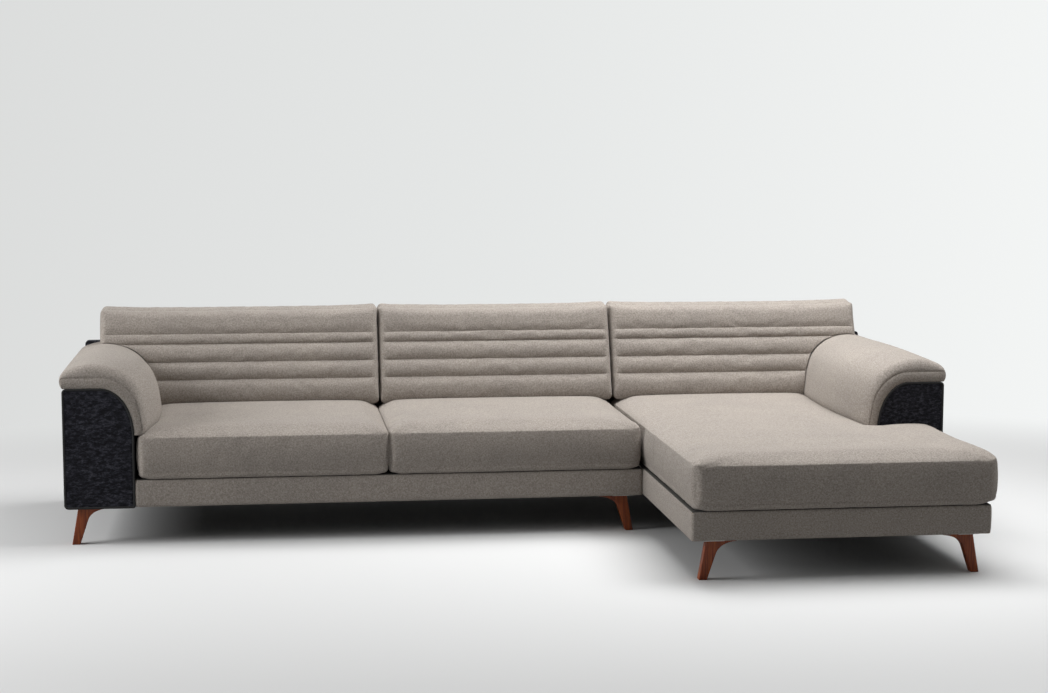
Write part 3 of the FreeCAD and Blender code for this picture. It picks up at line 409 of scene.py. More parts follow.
class Outline:
    """A cushion's flat outline: its corners in turn, their radii (0 at a hollow one) and its rectangles."""

    def __init__(self, ring, radii, rects):
        self.rects = rects
        starts = np.array(ring, float)
        runs = np.roll(starts, -1, axis=0) - starts
        inward = np.sign(columns([-runs[:, 1], runs[:, 0]]))
        sides = inward + np.roll(inward, 1, axis=0)
        self.segments = list(zip(starts, runs, inward))
        self.corners = [item for item in zip(starts, sides, radii) if item[2]]

    def holds(self, a, b):
        return any(low_a < a < high_a and low_b < b < high_b for low_a, high_a, low_b, high_b in self.rects)

    def depth(self, flat, *widths):
        """How far inside the outline points lie, each side's distance divided by its own roll width: left,
        right, front and rear, given for each rectangle."""
        shares = []
        for (low_a, high_a, low_b, high_b), four in zip(self.rects, widths):
            gaps = (flat[:, 0] - low_a, high_a - flat[:, 0], flat[:, 1] - low_b, high_b - flat[:, 1])
            total = sum(np.clip(gap / width, 1e-6, None) ** -4 for gap, width in zip(gaps, four))
            shares.append(total ** -0.25)
        return np.max(shares, axis=0)

    def on_edge(self, flat):
        return self.depth(flat, *[(1, 1, 1, 1)] * len(self.rects)) < 0.5 * MM

    def inset(self, flat, amount):
        """Points moved inward by an amount at the outline, less and less away from it."""
        moved = flat.copy()
        for start, run, inward in self.segments:
            share = clamp(((flat - start) @ run) / (run @ run))
            distance = lengths(flat - (start + share[:, None] * run))
            moved += np.outer(clamp(1 - distance / EDGE_REACH) * amount, inward)
        return moved

    def rounded(self, flat):
        """The corner squares' points drawn into quarter rounds."""
        moved = flat.copy()
        for corner, side, radius in self.corners:
            center = corner + side * radius
            local = (moved - center) / radius * -side
            inside = (local[:, 0] > 0) & (local[:, 1] > 0)
            u, v = local[inside, 0], local[inside, 1]
            drawn = columns([
                u * np.sqrt(np.clip(1 - v * v / 2, 0.2, 1)), v * np.sqrt(np.clip(1 - u * u / 2, 0.2, 1))])
            moved[inside] = center + drawn * radius * -side
        return moved


def box_outline(low_a, high_a, low_b, high_b, radii):
    """A rectangle, its corner radii in the order low-low, high-low, high-high, low-high."""
    ring = [(low_a, low_b), (high_a, low_b), (high_a, high_b), (low_a, high_b)]
    return Outline(ring, radii, [(low_a, high_a, low_b, high_b)])


def boxed_cushion(a_lines, b_lines, outline, height, front, rear, profile, back_inset):
    """A closed cushion of a crowned panel, a band round its side and a rear panel.

    front(flat, height) and rear(flat) turn flat points into room points. profile lists the band's rows as
    (share of the way to the rear, how far out). Returns points, faces, flat points and each point's row."""
    middle_a = (a_lines[1:] + a_lines[:-1]) / 2
    middle_b = (b_lines[1:] + b_lines[:-1]) / 2
    inside = np.array([[outline.holds(a, b) for b in middle_b] for a in middle_a])
    number = {}
    flat = []

    def corner(i, j):
        if (i, j) not in number:
            number[i, j] = len(flat)
            flat.append((a_lines[i], b_lines[j]))
        return number[i, j]

    panel = []
    following = {}
    for i, j in zip(*np.nonzero(inside)):
        cell = [corner(i, j), corner(i + 1, j), corner(i + 1, j + 1), corner(i, j + 1)]
        panel.append(cell)
        for side, (x, y) in enumerate(((i, j - 1), (i + 1, j), (i, j + 1), (i - 1, j))):
            if not (0 <= x < inside.shape[0] and 0 <= y < inside.shape[1] and inside[x, y]):
                following[cell[side]] = cell[(side + 1) % 4]
    ring = [next(iter(following))]
    while following[ring[-1]] != ring[0]:
        ring.append(following[ring[-1]])
    flat = np.array(flat)
    edge = flat[ring]
    count = len(flat)
    points = [front(outline.rounded(flat), height(flat))]
    faces = list(panel)
    last = ring
    start = count
    rows = [np.zeros(count, int)]
    for row, (share, out) in enumerate(profile, start=1):
        shape = outline.rounded(outline.inset(edge, -out))
        points.append(front(shape, np.zeros(len(edge))) * (1 - share) + rear(shape) * share)
        rows.append(np.full(len(edge), row))
        current = range(start, start + len(edge))
        start += len(edge)
        faces += band_faces(last, current)
        last = current
    points.append(rear(outline.rounded(outline.inset(flat, back_inset))))
    rows.append(np.full(count, len(profile) + 1))
    faces += band_faces(last, [start + item for item in ring])
    faces += flipped([[start + item for item in cell] for cell in panel])
    return np.concatenate(points), faces, flat, np.concatenate(rows)


def band_faces(upper, lower):
    """Quads between two closed rings, the upper one first."""
    count = len(upper)
    return [[upper[i], lower[i], lower[(i + 1) % count], upper[(i + 1) % count]] for i in range(count)]


# Cloth simulation.

SOFT = []
FRAMES = 20
CLOTH = {
    "quality": 5, "mass": 0.25, "tension_stiffness": 18, "compression_stiffness": 18, "shear_stiffness": 6,
    "bending_stiffness": 0.6, "use_pressure": True, "vertex_group_mass": "held",
}


def soften(piece, held, cap, pressure, slack):
    """Queue a piece for the cloth simulation: held points stay, and no point moves further than the cap."""
    group = piece.vertex_groups.new(name="held")
    group.add(np.nonzero(held)[0].tolist(), 1.0, "REPLACE")
    SOFT.append((piece, cap, pressure, slack))


def simulate():
    """Blow all queued pieces up against their seams together, then keep the result as plain meshes."""
    scene = bpy.context.scene
    scene.frame_start, scene.frame_end = 1, FRAMES
    for piece, _, pressure, slack in SOFT:
        cloth = piece.modifiers.new("cloth", "CLOTH")
        for key, value in CLOTH.items():
            setattr(cloth.settings, key, value)
        cloth.settings.uniform_pressure_force = pressure
        cloth.settings.shrink_min = -slack
        cloth.settings.effector_weights.gravity = 0
        cloth.collision_settings.use_collision = False
        cloth.point_cache.frame_end = FRAMES
    for step in range(1, FRAMES + 1):
        scene.frame_set(step)
    graph = bpy.context.evaluated_depsgraph_get()
    for piece, cap, _, _ in SOFT:
        rest = coordinates(piece.data)
        moved = coordinates(piece.evaluated_get(graph).data) - rest
        length = lengths(moved)
        moved *= (cap * np.tanh(length / cap) / np.maximum(length, 1e-9))[:, None]
        piece.modifiers.remove(piece.modifiers["cloth"])
        piece.data.vertices.foreach_set("co", np.float32(rest + moved).ravel())
        piece.data.update()
    scene.frame_set(1)


def subdivide(piece):
    """Finer faces on the finished shape, kept as a modifier."""
    modifier = piece.modifiers.new("finer", "SUBSURF")
    modifier.levels = modifier.render_levels = 1


# Seat cushions.

SEAT_LIP = 25 * MM
SEAT_DOME = 7 * MM
SEAT_DOME_REACH = 200 * MM
SEAT_ROLL = 85 * MM
SEAT_SIDE_ROLL = 60 * MM
SEAT_ARM_ROLL = 80 * MM
SEAT_REAR_ROLL = 30 * MM
SEAT_GAP = 1.5 * MM
ARM_CLEAR, CHAISE_CLEAR, SEAM_CLEAR = mm(12, 9, 8)
LOWER_SEAM = 22 * MM
SEAT_FOOT = 15 * MM
SEAT_SIDE_BELLY = 4 * MM


def roll(depth):
    """A quarter round: 0 at the edge, 1 where the roll ends."""
    return np.sqrt(1 - (1 - clamp(depth)) ** 2)


def seat_profile():
    """Rows of a seat's band from the top seam to the underside, and the row of its lower seam."""
    height = SEAM_TOP - SEAT_BASE
    seam = 1 - LOWER_SEAM / height
    rows = [(1.2 * MM / height, -0.9 * MM), (3 * MM / height, 0.5 * MM), (7 * MM / height, 1.8 * MM)]
    for share in np.linspace(0.1, 0.9, 9):
        out = 1.8 * MM + SEAT_SIDE_BELLY * math.sin(math.pi * share)
        rows.append((7 * MM / height + (seam - 10 * MM / height) * share, out))
    rows += [(seam - 2.5 * MM / height, 1.2 * MM), (seam, -0.8 * MM), (seam + 2.5 * MM / height, 0.8 * MM)]
    lower_seam = len(rows) - 1
    low = 1 - SEAT_FOOT / height
    for sine, drawn in quarter(0, 20, 40, 60, 80):
        rows.append((low + (1 - low) * sine, -SEAT_FOOT * drawn))
    return rows, lower_seam


def draw_corners(points, corners):
    """Round a cushion's corners in height too: the lower ones lifted, the upper ones sunk a little."""
    for corner, _, radius in corners:
        near = smooth(1 - np.hypot(*(points[:, :2] - corner).T) / (2 * radius))
        low = smooth(1 - (points[:, 2] - SEAT_BASE) / (62 * MM))
        high = smooth(1 - (SEAM_TOP + SEAT_LIP - points[:, 2]) / (60 * MM))
        points[:, 2] += near * (0.42 * radius * low - 6 * MM * high)


def seat_cushion(node, a_lines, b_lines, outline, rolls):
    """One loose seat cushion on its deck."""
    domes = [tuple(width * SEAT_DOME_REACH / SEAT_ROLL for width in four) for four in rolls]

    def height(flat):
        """The crowned top above the seam: a roll at the edge, then a long low dome."""
        edge, far = outline.depth(flat, *rolls), outline.depth(flat, *domes)
        return SEAT_LIP * roll(edge) + SEAT_DOME * (1 - np.exp(-far)) * smooth(edge * 0.8)

    def front(flat, heights):
        return columns([flat, SEAM_TOP + heights])

    def rear(flat):
        return columns([flat, np.full(len(flat), SEAT_BASE)])

    profile, lower_seam = seat_profile()
    points, faces, flat, rows = boxed_cushion(
        a_lines, b_lines, outline, height, front, rear, profile, SEAT_FOOT)
    waver(points, ((0.33, 11), (0.29, 12)), 0.9 * MM)
    draw_corners(points, outline.corners)
    piece = mesh_piece(node + "_soft", points, faces, "cushion_fabric", node, node)
    held = (rows == len(profile) + 1) | (rows == lower_seam)
    held[:len(flat)] |= outline.on_edge(flat)
    soften(piece, held, 7 * MM, 2.2, 0.004)


def seat_cushions():
    """Two seat cushions and the chaise cushion, which widens in front of the right arm."""
    for node in ("seat_cushion_left", "seat_cushion_center"):
        low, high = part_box(node)
        if "left" in node:
            low.x += ARM_CLEAR
            left_roll = SEAT_ARM_ROLL
        else:
            high.x -= CHAISE_CLEAR
            left_roll = SEAT_SIDE_ROLL
        outline = box_outline(low.x, high.x, low.y, high.y, mm(24, 24, 20, 20))
        rolls = [(left_roll, SEAT_SIDE_ROLL, SEAT_ROLL, SEAT_REAR_ROLL)]
        seat_cushion(node, graded(low.x, high.x), graded(low.y, high.y), outline, rolls)
    low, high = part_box("chaise_cushion")
    low.x += SEAM_CLEAR
    inner = right_low.x - SEAT_GAP
    step = right_low.y - 2 * SEAT_GAP
    ring = [(low.x, low.y), (high.x, low.y), (high.x, step), (inner, step), (inner, high.y), (low.x, high.y)]
    radii = mm(26, 36, 26, 0, 26, 26)
    outline = Outline(ring, radii, [(low.x, inner, low.y, high.y), (low.x, high.x, low.y, step)])
    rolls = [(SEAT_ROLL, SEAT_ARM_ROLL, SEAT_ROLL, SEAT_REAR_ROLL), (SEAT_ROLL, 45 * MM, SEAT_ROLL, 20 * MM)]
    seat_cushion("chaise_cushion", graded(low.x, inner, high.x), graded(low.y, step, high.y), outline, rolls)


# Back cushions.

BACK_SEAMS = mm(96, 162, 231, 268)
BACK_GROOVES = mm(12.5, 12.5, 12, 7)
BACK_RISE = 32 * MM
BACK_SWELL = 7 * MM
BACK_DIP = 7 * MM
BACK_DEPTH = 178 * MM
BACK_SLOPE = 82 * MM
BAND_STEPS = np.array([0, 1.2, 3.4, 7.5, 14, 22]) * MM
back_low, back_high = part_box("back_cushion_center")
BACK_FOOT = back_low.z
BACK_TOP = back_high.z - 1 * MM
BACK_LEAN = 136 / 372


def channel_lines(low, high):
    """Places up a back cushion's front, close together at its edges and at each sewn channel."""
    stops = [low] + [low + seam for seam in BACK_SEAMS] + [high]
    lines = []
    for index, (start, end) in enumerate(zip(stops, stops[1:])):
        near_start = EDGE_STEPS if index == 0 else BAND_STEPS
        near_end = EDGE_STEPS if index == len(BACK_SEAMS) else BAND_STEPS
        reach = (end - start) * 0.42
        first = start + near_start[near_start < reach]
        final = (end - near_end[near_end < reach])[::-1]
        count = max(1, round((final[0] - first[-1]) / (10 * MM)))
        lines += [*first, *np.linspace(first[-1], final[0], count + 1)[1:-1], *final[:-1]]
    return np.array(lines + [high])


def rest_plane(z):
    """Where a back cushion's rear lies: on the leaning webs, then upright above the posts."""
    foot = PLINTH_TOP - 3 * MM
    top = arm_high.z + 54 * MM
    share = (np.minimum(z, top) - foot) / (top - foot)
    return arm_high.y - BACK_SLOPE + share * BACK_SLOPE - 3 * MM


def merged(lines, extra):
    """Two sets of places in order; near ones of the first set give way, but its ends stay."""
    extra = np.array([place for place in extra if lines[0] + 4 * MM < place < lines[-1] - 4 * MM])
    inner = [place for place in lines[1:-1] if np.abs(extra - place).min() > 3 * MM]
    return np.sort(np.concatenate([[lines[0], lines[-1]], inner, extra]))


def pad_curve():
    """The pad's outline where a back cushion begins, grown by a small gap, from its tip to its belly."""
    outline = pad_outer(swell_at(0.79))
    curve = outline - outward(outline) * 1.8 * MM
    return curve[np.argmin(curve[:, 0]):np.argmax(curve[:, 0]) + 1]


def back_cushion(node, arm):
    """One leaning back cushion with four sewn channels; arm is -1 or 1 if it reaches over that arm, or 0."""
    low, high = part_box(node)
    bottom, top = BACK_FOOT, BACK_TOP
    face_foot = rest_plane(bottom) - BACK_DEPTH
    normal = np.array([0, -1, BACK_LEAN]) / math.hypot(1, BACK_LEAN)
    x_lines, z_lines = graded(low.x, high.x), channel_lines(bottom, top)
    curve = pad_curve()
    if arm:
        places = np.append(curve[::2, 0], [curve[-1, 0], curve[-1, 0] + 3 * MM])
        x_lines = merged(x_lines, np.unique(arm_x(places, arm > 0)))
    outline = box_outline(low.x, high.x, bottom, top, mm(22, 22, 20, 20))

    def lifted(flat):
        """The flat points, those under an arm pad's outline pushed up onto it."""
        if not arm:
            return flat
        across = flat[:, 0] - arm_low.x if arm < 0 else right_high.x - flat[:, 0]
        floor = np.interp(across, curve[:, 0], curve[:, 1], right=-1)
        return columns([flat[:, 0], np.maximum(flat[:, 1], floor + 0.02 * (flat[:, 1] - bottom))])

    def seam_reach(flat):
        """1 where the channels are sewn, fading out just before the ends."""
        left = smooth((flat[:, 0] - low.x - 14 * MM) / (16 * MM))
        return left * smooth((high.x - 14 * MM - flat[:, 0]) / (16 * MM))

    def height(flat):
        flat = lifted(flat)
        edge = outline.depth(flat, mm(24, 24, 84, 30))
        far = outline.depth(flat, mm(120, 120, 200, 200))
        rise = BACK_RISE * roll(edge) + BACK_SWELL * (1 - np.exp(-far))
        up = flat[:, 1] - bottom
        stops = [-20 * MM, *BACK_SEAMS, top - bottom + 30 * MM]
        for before, seam, after, groove in zip(stops, stops[1:], stops[2:], BACK_GROOVES):
            span = np.where(up < seam, seam - before, after - seam) * 0.5
            share = clamp(np.abs(up - seam) / np.minimum(span, 30 * MM))
            rise -= groove * (1 - roll(share)) * seam_reach(flat)
        return rise

    def warp(flat):
        """How high each point lies: the top edge sags a little between its corners."""
        flat = lifted(flat)
        share = clamp((flat[:, 1] - bottom) / (top - bottom))
        across = clamp((flat[:, 0] - low.x) / (high.x - low.x))
        sag = BACK_DIP * (1 - (2 * across - 1) ** 4) * smooth((share - 0.72) / 0.28)
        wave = ripple(np.outer(flat[:, 0], (1, 0, 0)), 0.11, 31)
        return flat[:, 1] - sag - wave * 0.7 * MM * smooth((share - 0.8) / 0.2)

    def front(flat, heights):
        z = warp(flat)
        base = columns([flat[:, 0], face_foot + (z - bottom) * BACK_LEAN, z])
        return base + (heights - BACK_RISE)[:, None] * normal

    def rear(flat):
        z = warp(flat)
        return columns([flat[:, 0], rest_plane(z), z])

    profile = [(share, 3.2 * MM * math.sin(math.pi * share) - 0.8 * MM * (share < 0.05)) for share in (
        0.02, 0.06, 0.15, 0.3, 0.45, 0.6, 0.75, 0.88, 0.96)]
    points, faces, flat, rows = boxed_cushion(
        x_lines, z_lines, outline, height, front, rear, profile, 1.5 * MM)
    piece = mesh_piece(node + "_soft", points, faces, "cushion_fabric", node, node)
    sewn = outline.on_edge(flat) | (lifted(flat)[:, 1] > flat[:, 1] + 0.1 * MM)
    for seam in BACK_SEAMS:
        sewn |= np.isclose(flat[:, 1], bottom + seam, atol=0.2 * MM) & (seam_reach(flat) > 0.6)
    held = rows == len(profile) + 1
    held[:len(flat)] |= sewn
    soften(piece, held, 4 * MM, 2.2, 0.006)


# Arm pads.

SHOULDER_ACROSS = 115 * MM
SHOULDER_DROP = 169 * MM
PAD_OUTLINE = (
    # Distance from the arm's outer face, height over the arm's top, and how the swell moves the point.
    (2, 2.5, 0, 0), (-7, 10, 0, 0), (-12, 26, 0, 0), (-10, 44, 0, 0), (2, 60, 0, 0.05), (30, 73, 0, 0.12),
    (84, 84, 0, 0.28), (135, 80, 0.1, 0.38), (185, 63, 0.35, 0.5), (224, 35, 0.6, 0.68),
    (253, -3, 0.82, 0.72), (272, -55, 0.95, 0.66), (282, -112, 1.0, 0.5), (286, -146, 0.95, 0.25),
    (279, -165, 0.75, 0.04), (262, -170, 0.35, 0), (247.5, -167, 0, 0),
)
PAD_SWELL = 45 * MM
PAD_COLUMNS = 96
PAD_SEAM, PAD_ROUND, PAD_REAR_ROUND = mm(38, 34, 22)
ARMS = (("left", False, arm_low.y, arm_high.y, SOFA), ("right", True, right_low.y, right_high.y, CHAISE))


def upright(plane, y):
    """Points across and up, set at a depth in the room."""
    return columns([plane[:, 0], np.broadcast_to(y, len(plane)), plane[:, 1]])


def arm_x(across, mirror):
    """The place in the room of a distance from an arm's outer face."""
    return right_high.x - across if mirror else arm_low.x + across


def arc(center, radii, start, end, steps):
    """Points round a center, from one angle to another in degrees."""
    return [(center[0] + radii[0] * math.cos(angle), center[1] + radii[1] * math.sin(angle))
            for angle in np.radians(np.linspace(start, end, steps))]


def along(curve, run, places):
    """The curve's points at places of its run."""
    return columns([np.interp(places, run, part) for part in curve.T])


def spline(points, count):
    """Evenly spaced points on a smooth curve through the given ones."""
    points = np.asarray(points, float)
    ends = np.vstack([2 * points[0] - points[1], points, 2 * points[-1] - points[-2]])
    dense = []
    for index in range(1, len(ends) - 2):
        p0, p1, p2, p3 = ends[index - 1:index + 3]
        t = np.linspace(0, 1, 24, endpoint=False)[:, None]
        dense.append(0.5 * (2 * p1 + (p2 - p0) * t + (2 * p0 - 5 * p1 + 4 * p2 - p3) * t ** 2
                            + (3 * p1 - p0 - 3 * p2 + p3) * t ** 3))
    dense = np.vstack([*dense, points[-1:]])
    run = np.concatenate([[0], np.cumsum(lengths(np.diff(dense, axis=0)))])
    return along(dense, run, np.linspace(0, run[-1], count))


def pad_underside():
    """The pad's inner surface on the arm: flat on the top, then down the rounded shoulder."""
    top = arm_high.z
    points = [(2 * MM, top + 1.5 * MM), (20 * MM, top + 1 * MM), (70 * MM, top + 1 * MM)]
    center = (arm_high.x - arm_low.x - SHOULDER_ACROSS, top - SHOULDER_DROP)
    points += arc(center, (SHOULDER_ACROSS + 1 * MM, SHOULDER_DROP + 1 * MM), 90, 1, 40)
    return spline(points, 400)


def pad_outer(swell):
    """The pad's outer outline at one place of its length."""
    return spline([(across * MM + move_across * swell, arm_high.z + up * MM + move_up * swell)
                   for across, up, move_across, move_up in PAD_OUTLINE], PAD_COLUMNS)


def swell_at(share):
    """How far the pad swells along the arm: least at both ends, most a third of the way back."""
    rise = 1 - (1 - clamp(share / 0.32)) ** 2
    fall = 1 - 0.95 * smooth((share - 0.36) / 0.6)
    return PAD_SWELL * rise * fall


def matched(outer, inner):
    """For each outer point, the inner point that it covers, in order along the curve."""
    gaps = np.linalg.norm(outer[:, None, :] - inner[None, :, :], axis=2)
    nearest = np.maximum.accumulate(np.argmin(gaps, axis=1)).astype(float)
    nearest[0], nearest[-1] = 0, len(inner) - 1
    kernel = np.ones(9) / 9
    padded = np.concatenate([np.full(4, nearest[0]), nearest, np.full(4, nearest[-1])])
    evened = np.convolve(padded, kernel, "valid")
    evened[0], evened[-1] = 0, len(inner) - 1
    return along(inner, np.arange(len(inner)), evened)


def arm_pad(side, mirror, front_y, rear_y, body):
    """The padded cap of one arm, with a seam round its front face and soft rolls at both ends."""
    face = pad_outer(0)
    under = matched(face, pad_underside())
    thickness = np.maximum(lengths(face - under), 1e-9)[:, None]
    seam = np.minimum(PAD_SEAM, thickness * 0.72)
    inward = (under - face) / thickness * (thickness - seam)
    slim = smooth(thickness[:, 0] / (30 * MM))
    front = front_y + 3 * MM
    rows = []

    def add(plane, y):
        rows.append(upright(plane, y))

    def outer_at(y):
        return pad_outer(swell_at((y - front_y) / (rear_y - front_y)))

    for share in (0.0, 0.08, 0.25, 0.45, 0.65, 0.85, 0.95):
        bulge = 4 * MM * math.sin(math.pi * min(1, share / 0.97))
        add(under + (face - under) * (share * seam / thickness), front - bulge * slim)
    seam_row = len(rows)
    add(face + inward, front + 2.4 * MM * slim)
    for sine, back in quarter(8, 18, 30, 42, 54, 66, 78):
        y = front + PAD_ROUND * back
        add(outer_at(y) + inward * (1 - sine), y)
    last = rear_y - PAD_REAR_ROUND
    for y in np.linspace(front + PAD_ROUND, last, 44):
        add(outer_at(y), y)
    end = outer_at(last)
    gap = np.maximum(lengths(under - end), 1e-9)[:, None]
    inward = (under - end) / gap * np.minimum(PAD_REAR_ROUND, gap * 0.45)
    for sine, drawn in quarter(20, 40, 60, 80, 90):
        add(end + inward * drawn, last + 21 * MM * sine)
    rear_row = len(rows) - 1
    end = end + inward
    for share in (0.35, 0.7, 1.0):
        add(end + (under - end) * share, rear_y - 1 * MM)
    for y in np.linspace(rear_y - 40 * MM, front_y + 40 * MM, 12):
        add(under, y)
    points = np.concatenate(rows)
    puckers(points, seam_row)
    count = PAD_COLUMNS
    faces = grid_faces(len(rows), count, closed=True)
    held = np.zeros(len(points), bool)
    held[:count] = held[seam_row * count:(seam_row + 1) * count] = held[(rear_row + 1) * count:] = True
    held[::count] = held[count - 1::count] = True
    points[:, 0] = arm_x(points[:, 0], mirror)
    faces = faces if mirror else flipped(faces)
    piece = mesh_piece(f"{side}_arm_pad_soft", points, faces, "cushion_fabric", body, f"{side}_arm_pad")
    soften(piece, held, 5 * MM, 2.0, 0.006)


def puckers(points, seam_row):
    """Small gathers that start at the seam where it turns down the shoulder."""
    column = np.arange(PAD_COLUMNS)
    place = column / PAD_COLUMNS
    around = smooth((place - 0.45) / 0.12) * (1 - smooth((place - 0.74) / 0.12))
    wave = np.sin(column * 1.9 + 0.8 * np.sin(column * 0.61)) * (0.6 + 0.4 * np.sin(column * 0.37 + 1.1))
    blocks = points.reshape(-1, PAD_COLUMNS, 3)
    for step in range(1, 12):
        fade = math.exp(-((step - 2) / 4.0) ** 2)
        out = blocks[seam_row + step] - blocks[seam_row]
        out[:, 1] = -0.5 * np.abs(out[:, 0])
        size = np.maximum(lengths(out), 1e-6)
        blocks[seam_row + step] += out / size[:, None] * (wave * around * fade * 1.1 * MM)[:, None]


# Tweed arms.

def arm_outline(shrink):
    """The arm's upright outline from its outer lower corner, closed, with rounded corners."""
    width = arm_high.x - arm_low.x
    lower = max(14 * MM - shrink, 2 * MM)
    foot = max(5 * MM - shrink, 1.5 * MM)
    upper = max(12 * MM - shrink, 2 * MM)
    shoulder = (SHOULDER_ACROSS - shrink, SHOULDER_DROP - shrink)
    bottom = LEG_TOP + shrink
    return np.array([
        *arc((shrink + lower, bottom + lower), (lower, lower), 180, 270, 7),
        *arc((width - shrink - foot, bottom + foot), (foot, foot), 270, 360, 7),
        *arc((width - SHOULDER_ACROSS, arm_high.z - SHOULDER_DROP), shoulder, 0, 90, 26),
        *arc((shrink + upper, arm_high.z - shrink - upper), (upper, upper), 90, 180, 7)])


def arm_cover(side, mirror, front_y, rear_y, body):
    """The tweed cover of an arm: a lightly padded front panel edged with piping, its side and rear."""
    rings = [(26, 0.6), (13, 0.8), (8, 1.2), (4.5, 2.2), (1.2, 3.2), (0, 6)]
    layers = [(shrink, front_y + back * MM) for shrink, back in rings]
    layers += [(0, y) for y in np.linspace(front_y + 30 * MM, rear_y - 20 * MM, 10)]
    layers += [(0, rear_y - 5 * MM), (1.5, rear_y - 1.5 * MM), (5, rear_y)]
    points = np.concatenate([upright(arm_outline(shrink * MM), y) for shrink, y in layers])
    points[:, 0] = arm_x(points[:, 0], mirror)
    rows = np.arange(len(points)).reshape(len(layers), -1).tolist()
    faces = []
    for upper, lower in zip(rows, rows[1:]):
        faces += band_faces(upper, lower)
    faces += [rows[0], rows[-1][::-1]]
    name = f"{side}_arm_tweed"
    faces = flipped(faces) if mirror else faces
    mesh_piece(name, points, faces, "tweed", body, f"{side}_arm_cover")
    curve = bpy.data.curves.new(name + "_piping", "CURVE")
    curve.dimensions = "3D"
    curve.bevel_depth = 4.2 * MM
    curve.bevel_resolution = 3
    curve.materials.append(PIPING)
    plane = arm_outline(1.6 * MM)
    line = curve.splines.new("POLY")
    line.points.add(len(plane) - 1)
    line.use_cyclic_u = True
    for point, (across, z) in zip(line.points, plane):
        point.co = (arm_x(across, mirror), front_y + 3 * MM, z, 1)
    piece = added(name + "_piping", curve)
    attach(piece, body)


# Plinths.

def rounded_path(corners, radius, step):
    """A path in plan with its inner points rounded and its long runs divided."""
    corners = [np.array(item, float) for item in corners]
    path = [corners[0]]
    for before, here, after in zip(corners, corners[1:], corners[2:]):
        one = (before - here) / np.linalg.norm(before - here)
        two = (after - here) / np.linalg.norm(after - here)
        center = here + (one + two) * radius
        for angle in np.linspace(0, math.pi / 2, 7):
            path.append(center - two * radius * math.cos(angle) - one * radius * math.sin(angle))
    path.append(corners[-1])
    dense = [path[0]]
    for start, end in zip(path, path[1:]):
        count = max(1, int(np.linalg.norm(end - start) / step))
        dense += [start + (end - start) * share for share in np.linspace(0, 1, count + 1)[1:]]
    return np.array(dense)


def outward(path):
    """Unit vectors to the right of a path in plan."""
    run = np.gradient(path, axis=0)
    run /= lengths(run)[:, None]
    return columns([run[:, 1], -run[:, 0]])


def swept(path, out, profile):
    """Rows of points: the path moved outward and set at each height of a profile."""
    return [columns([path + out * across, np.full(len(path), z)]) for across, z in profile]


def plinth(side, corners, body):
    """An upholstered band under the seats: soft edges above and below, turned in on both sides."""
    path = rounded_path(corners, 11 * MM, 22 * MM)
    rows = [(-22, 1.0), (-8, 0.2), (-4.4, 0.9), (-1.8, 3.0), (-0.4, 6.0), (0, 9.5)]
    profile = [(across * MM, LEG_TOP + up * MM) for across, up in rows]
    for share in np.linspace(0.12, 0.88, 8):
        profile.append((1.6 * MM * math.sin(math.pi * share), LEG_TOP + (PLINTH_TOP - LEG_TOP) * share))
    profile += [(across * MM, PLINTH_TOP - up * MM) for across, up in reversed(rows)]
    points = np.concatenate(swept(path, outward(path), profile))
    waver(points, ((0.26, 21), (0.22, 22)), 0.35 * MM)
    faces = grid_faces(len(profile), len(path))
    mesh_piece(f"{side}_plinth_soft", points, faces, "cushion_fabric", body, f"{side}_plinth_cover")


def plinths():
    gap = 0.8 * MM
    front, rear = right_low.y - gap, sofa_high.y
    left, right = sofa_low.x + gap, sofa_high.x - gap
    plinth("sofa", [(left, rear), (left, sofa_low.y), (right, sofa_low.y), (right, rear)], SOFA)
    left, right = chaise_low.x + gap, right_low.x - gap
    plinth("chaise", [
        (left, rear), (left, chaise_low.y), (chaise_high.x, chaise_low.y), (chaise_high.x, front),
        (right, front), (right, rear)], CHAISE)


# Backs.

def back_shell(side, body):
    """The tweed back: rear, top and ends in one shell, open to the front and below."""
    low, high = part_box(f"{side}_back_cover")
    corners = [(low.x, low.y), (low.x, high.y), (high.x, high.y), (high.x, low.y)]
    path = rounded_path(corners, 12 * MM, 25 * MM)
    radius = 11 * MM
    profile = [(across * MM, LEG_TOP + up * MM) for across, up in ((-22, 1), (-5, 0.3), (-1.5, 1.5), (0, 5))]
    profile += [(0, z) for z in np.linspace(LEG_TOP + 30 * MM, high.z - radius - 20 * MM, 12)]
    top = quarter(0, 22, 45, 68, 90)
    profile += [(-radius * drawn, high.z - radius + radius * sine) for sine, drawn in top]
    points = swept(path, -outward(path), profile)
    for row in points:
        row[:, 1] = np.maximum(row[:, 1], low.y)
    lip = [(0, 95 * MM)] + [(radius * drawn, radius * (1 - sine)) for sine, drawn in top]
    front = low.y - 0.8 * MM
    edge = [(low.x + across, front, high.z - down) for across, down in lip]
    edge += [(high.x - across, front, high.z - down) for across, down in reversed(lip)]
    points.append(np.array(edge))
    count = len(path)
    start = len(profile) * count
    faces = flipped(grid_faces(len(profile), count))
    faces.append(list(range(start, start + len(edge))))
    faces.append([*range(start - count, start), start + len(lip), start + len(lip) - 1])
    points = np.concatenate(points)
    weld(mesh_piece(f"{side}_back_tweed", points, faces, "tweed", body, f"{side}_back_cover"))


# Legs.

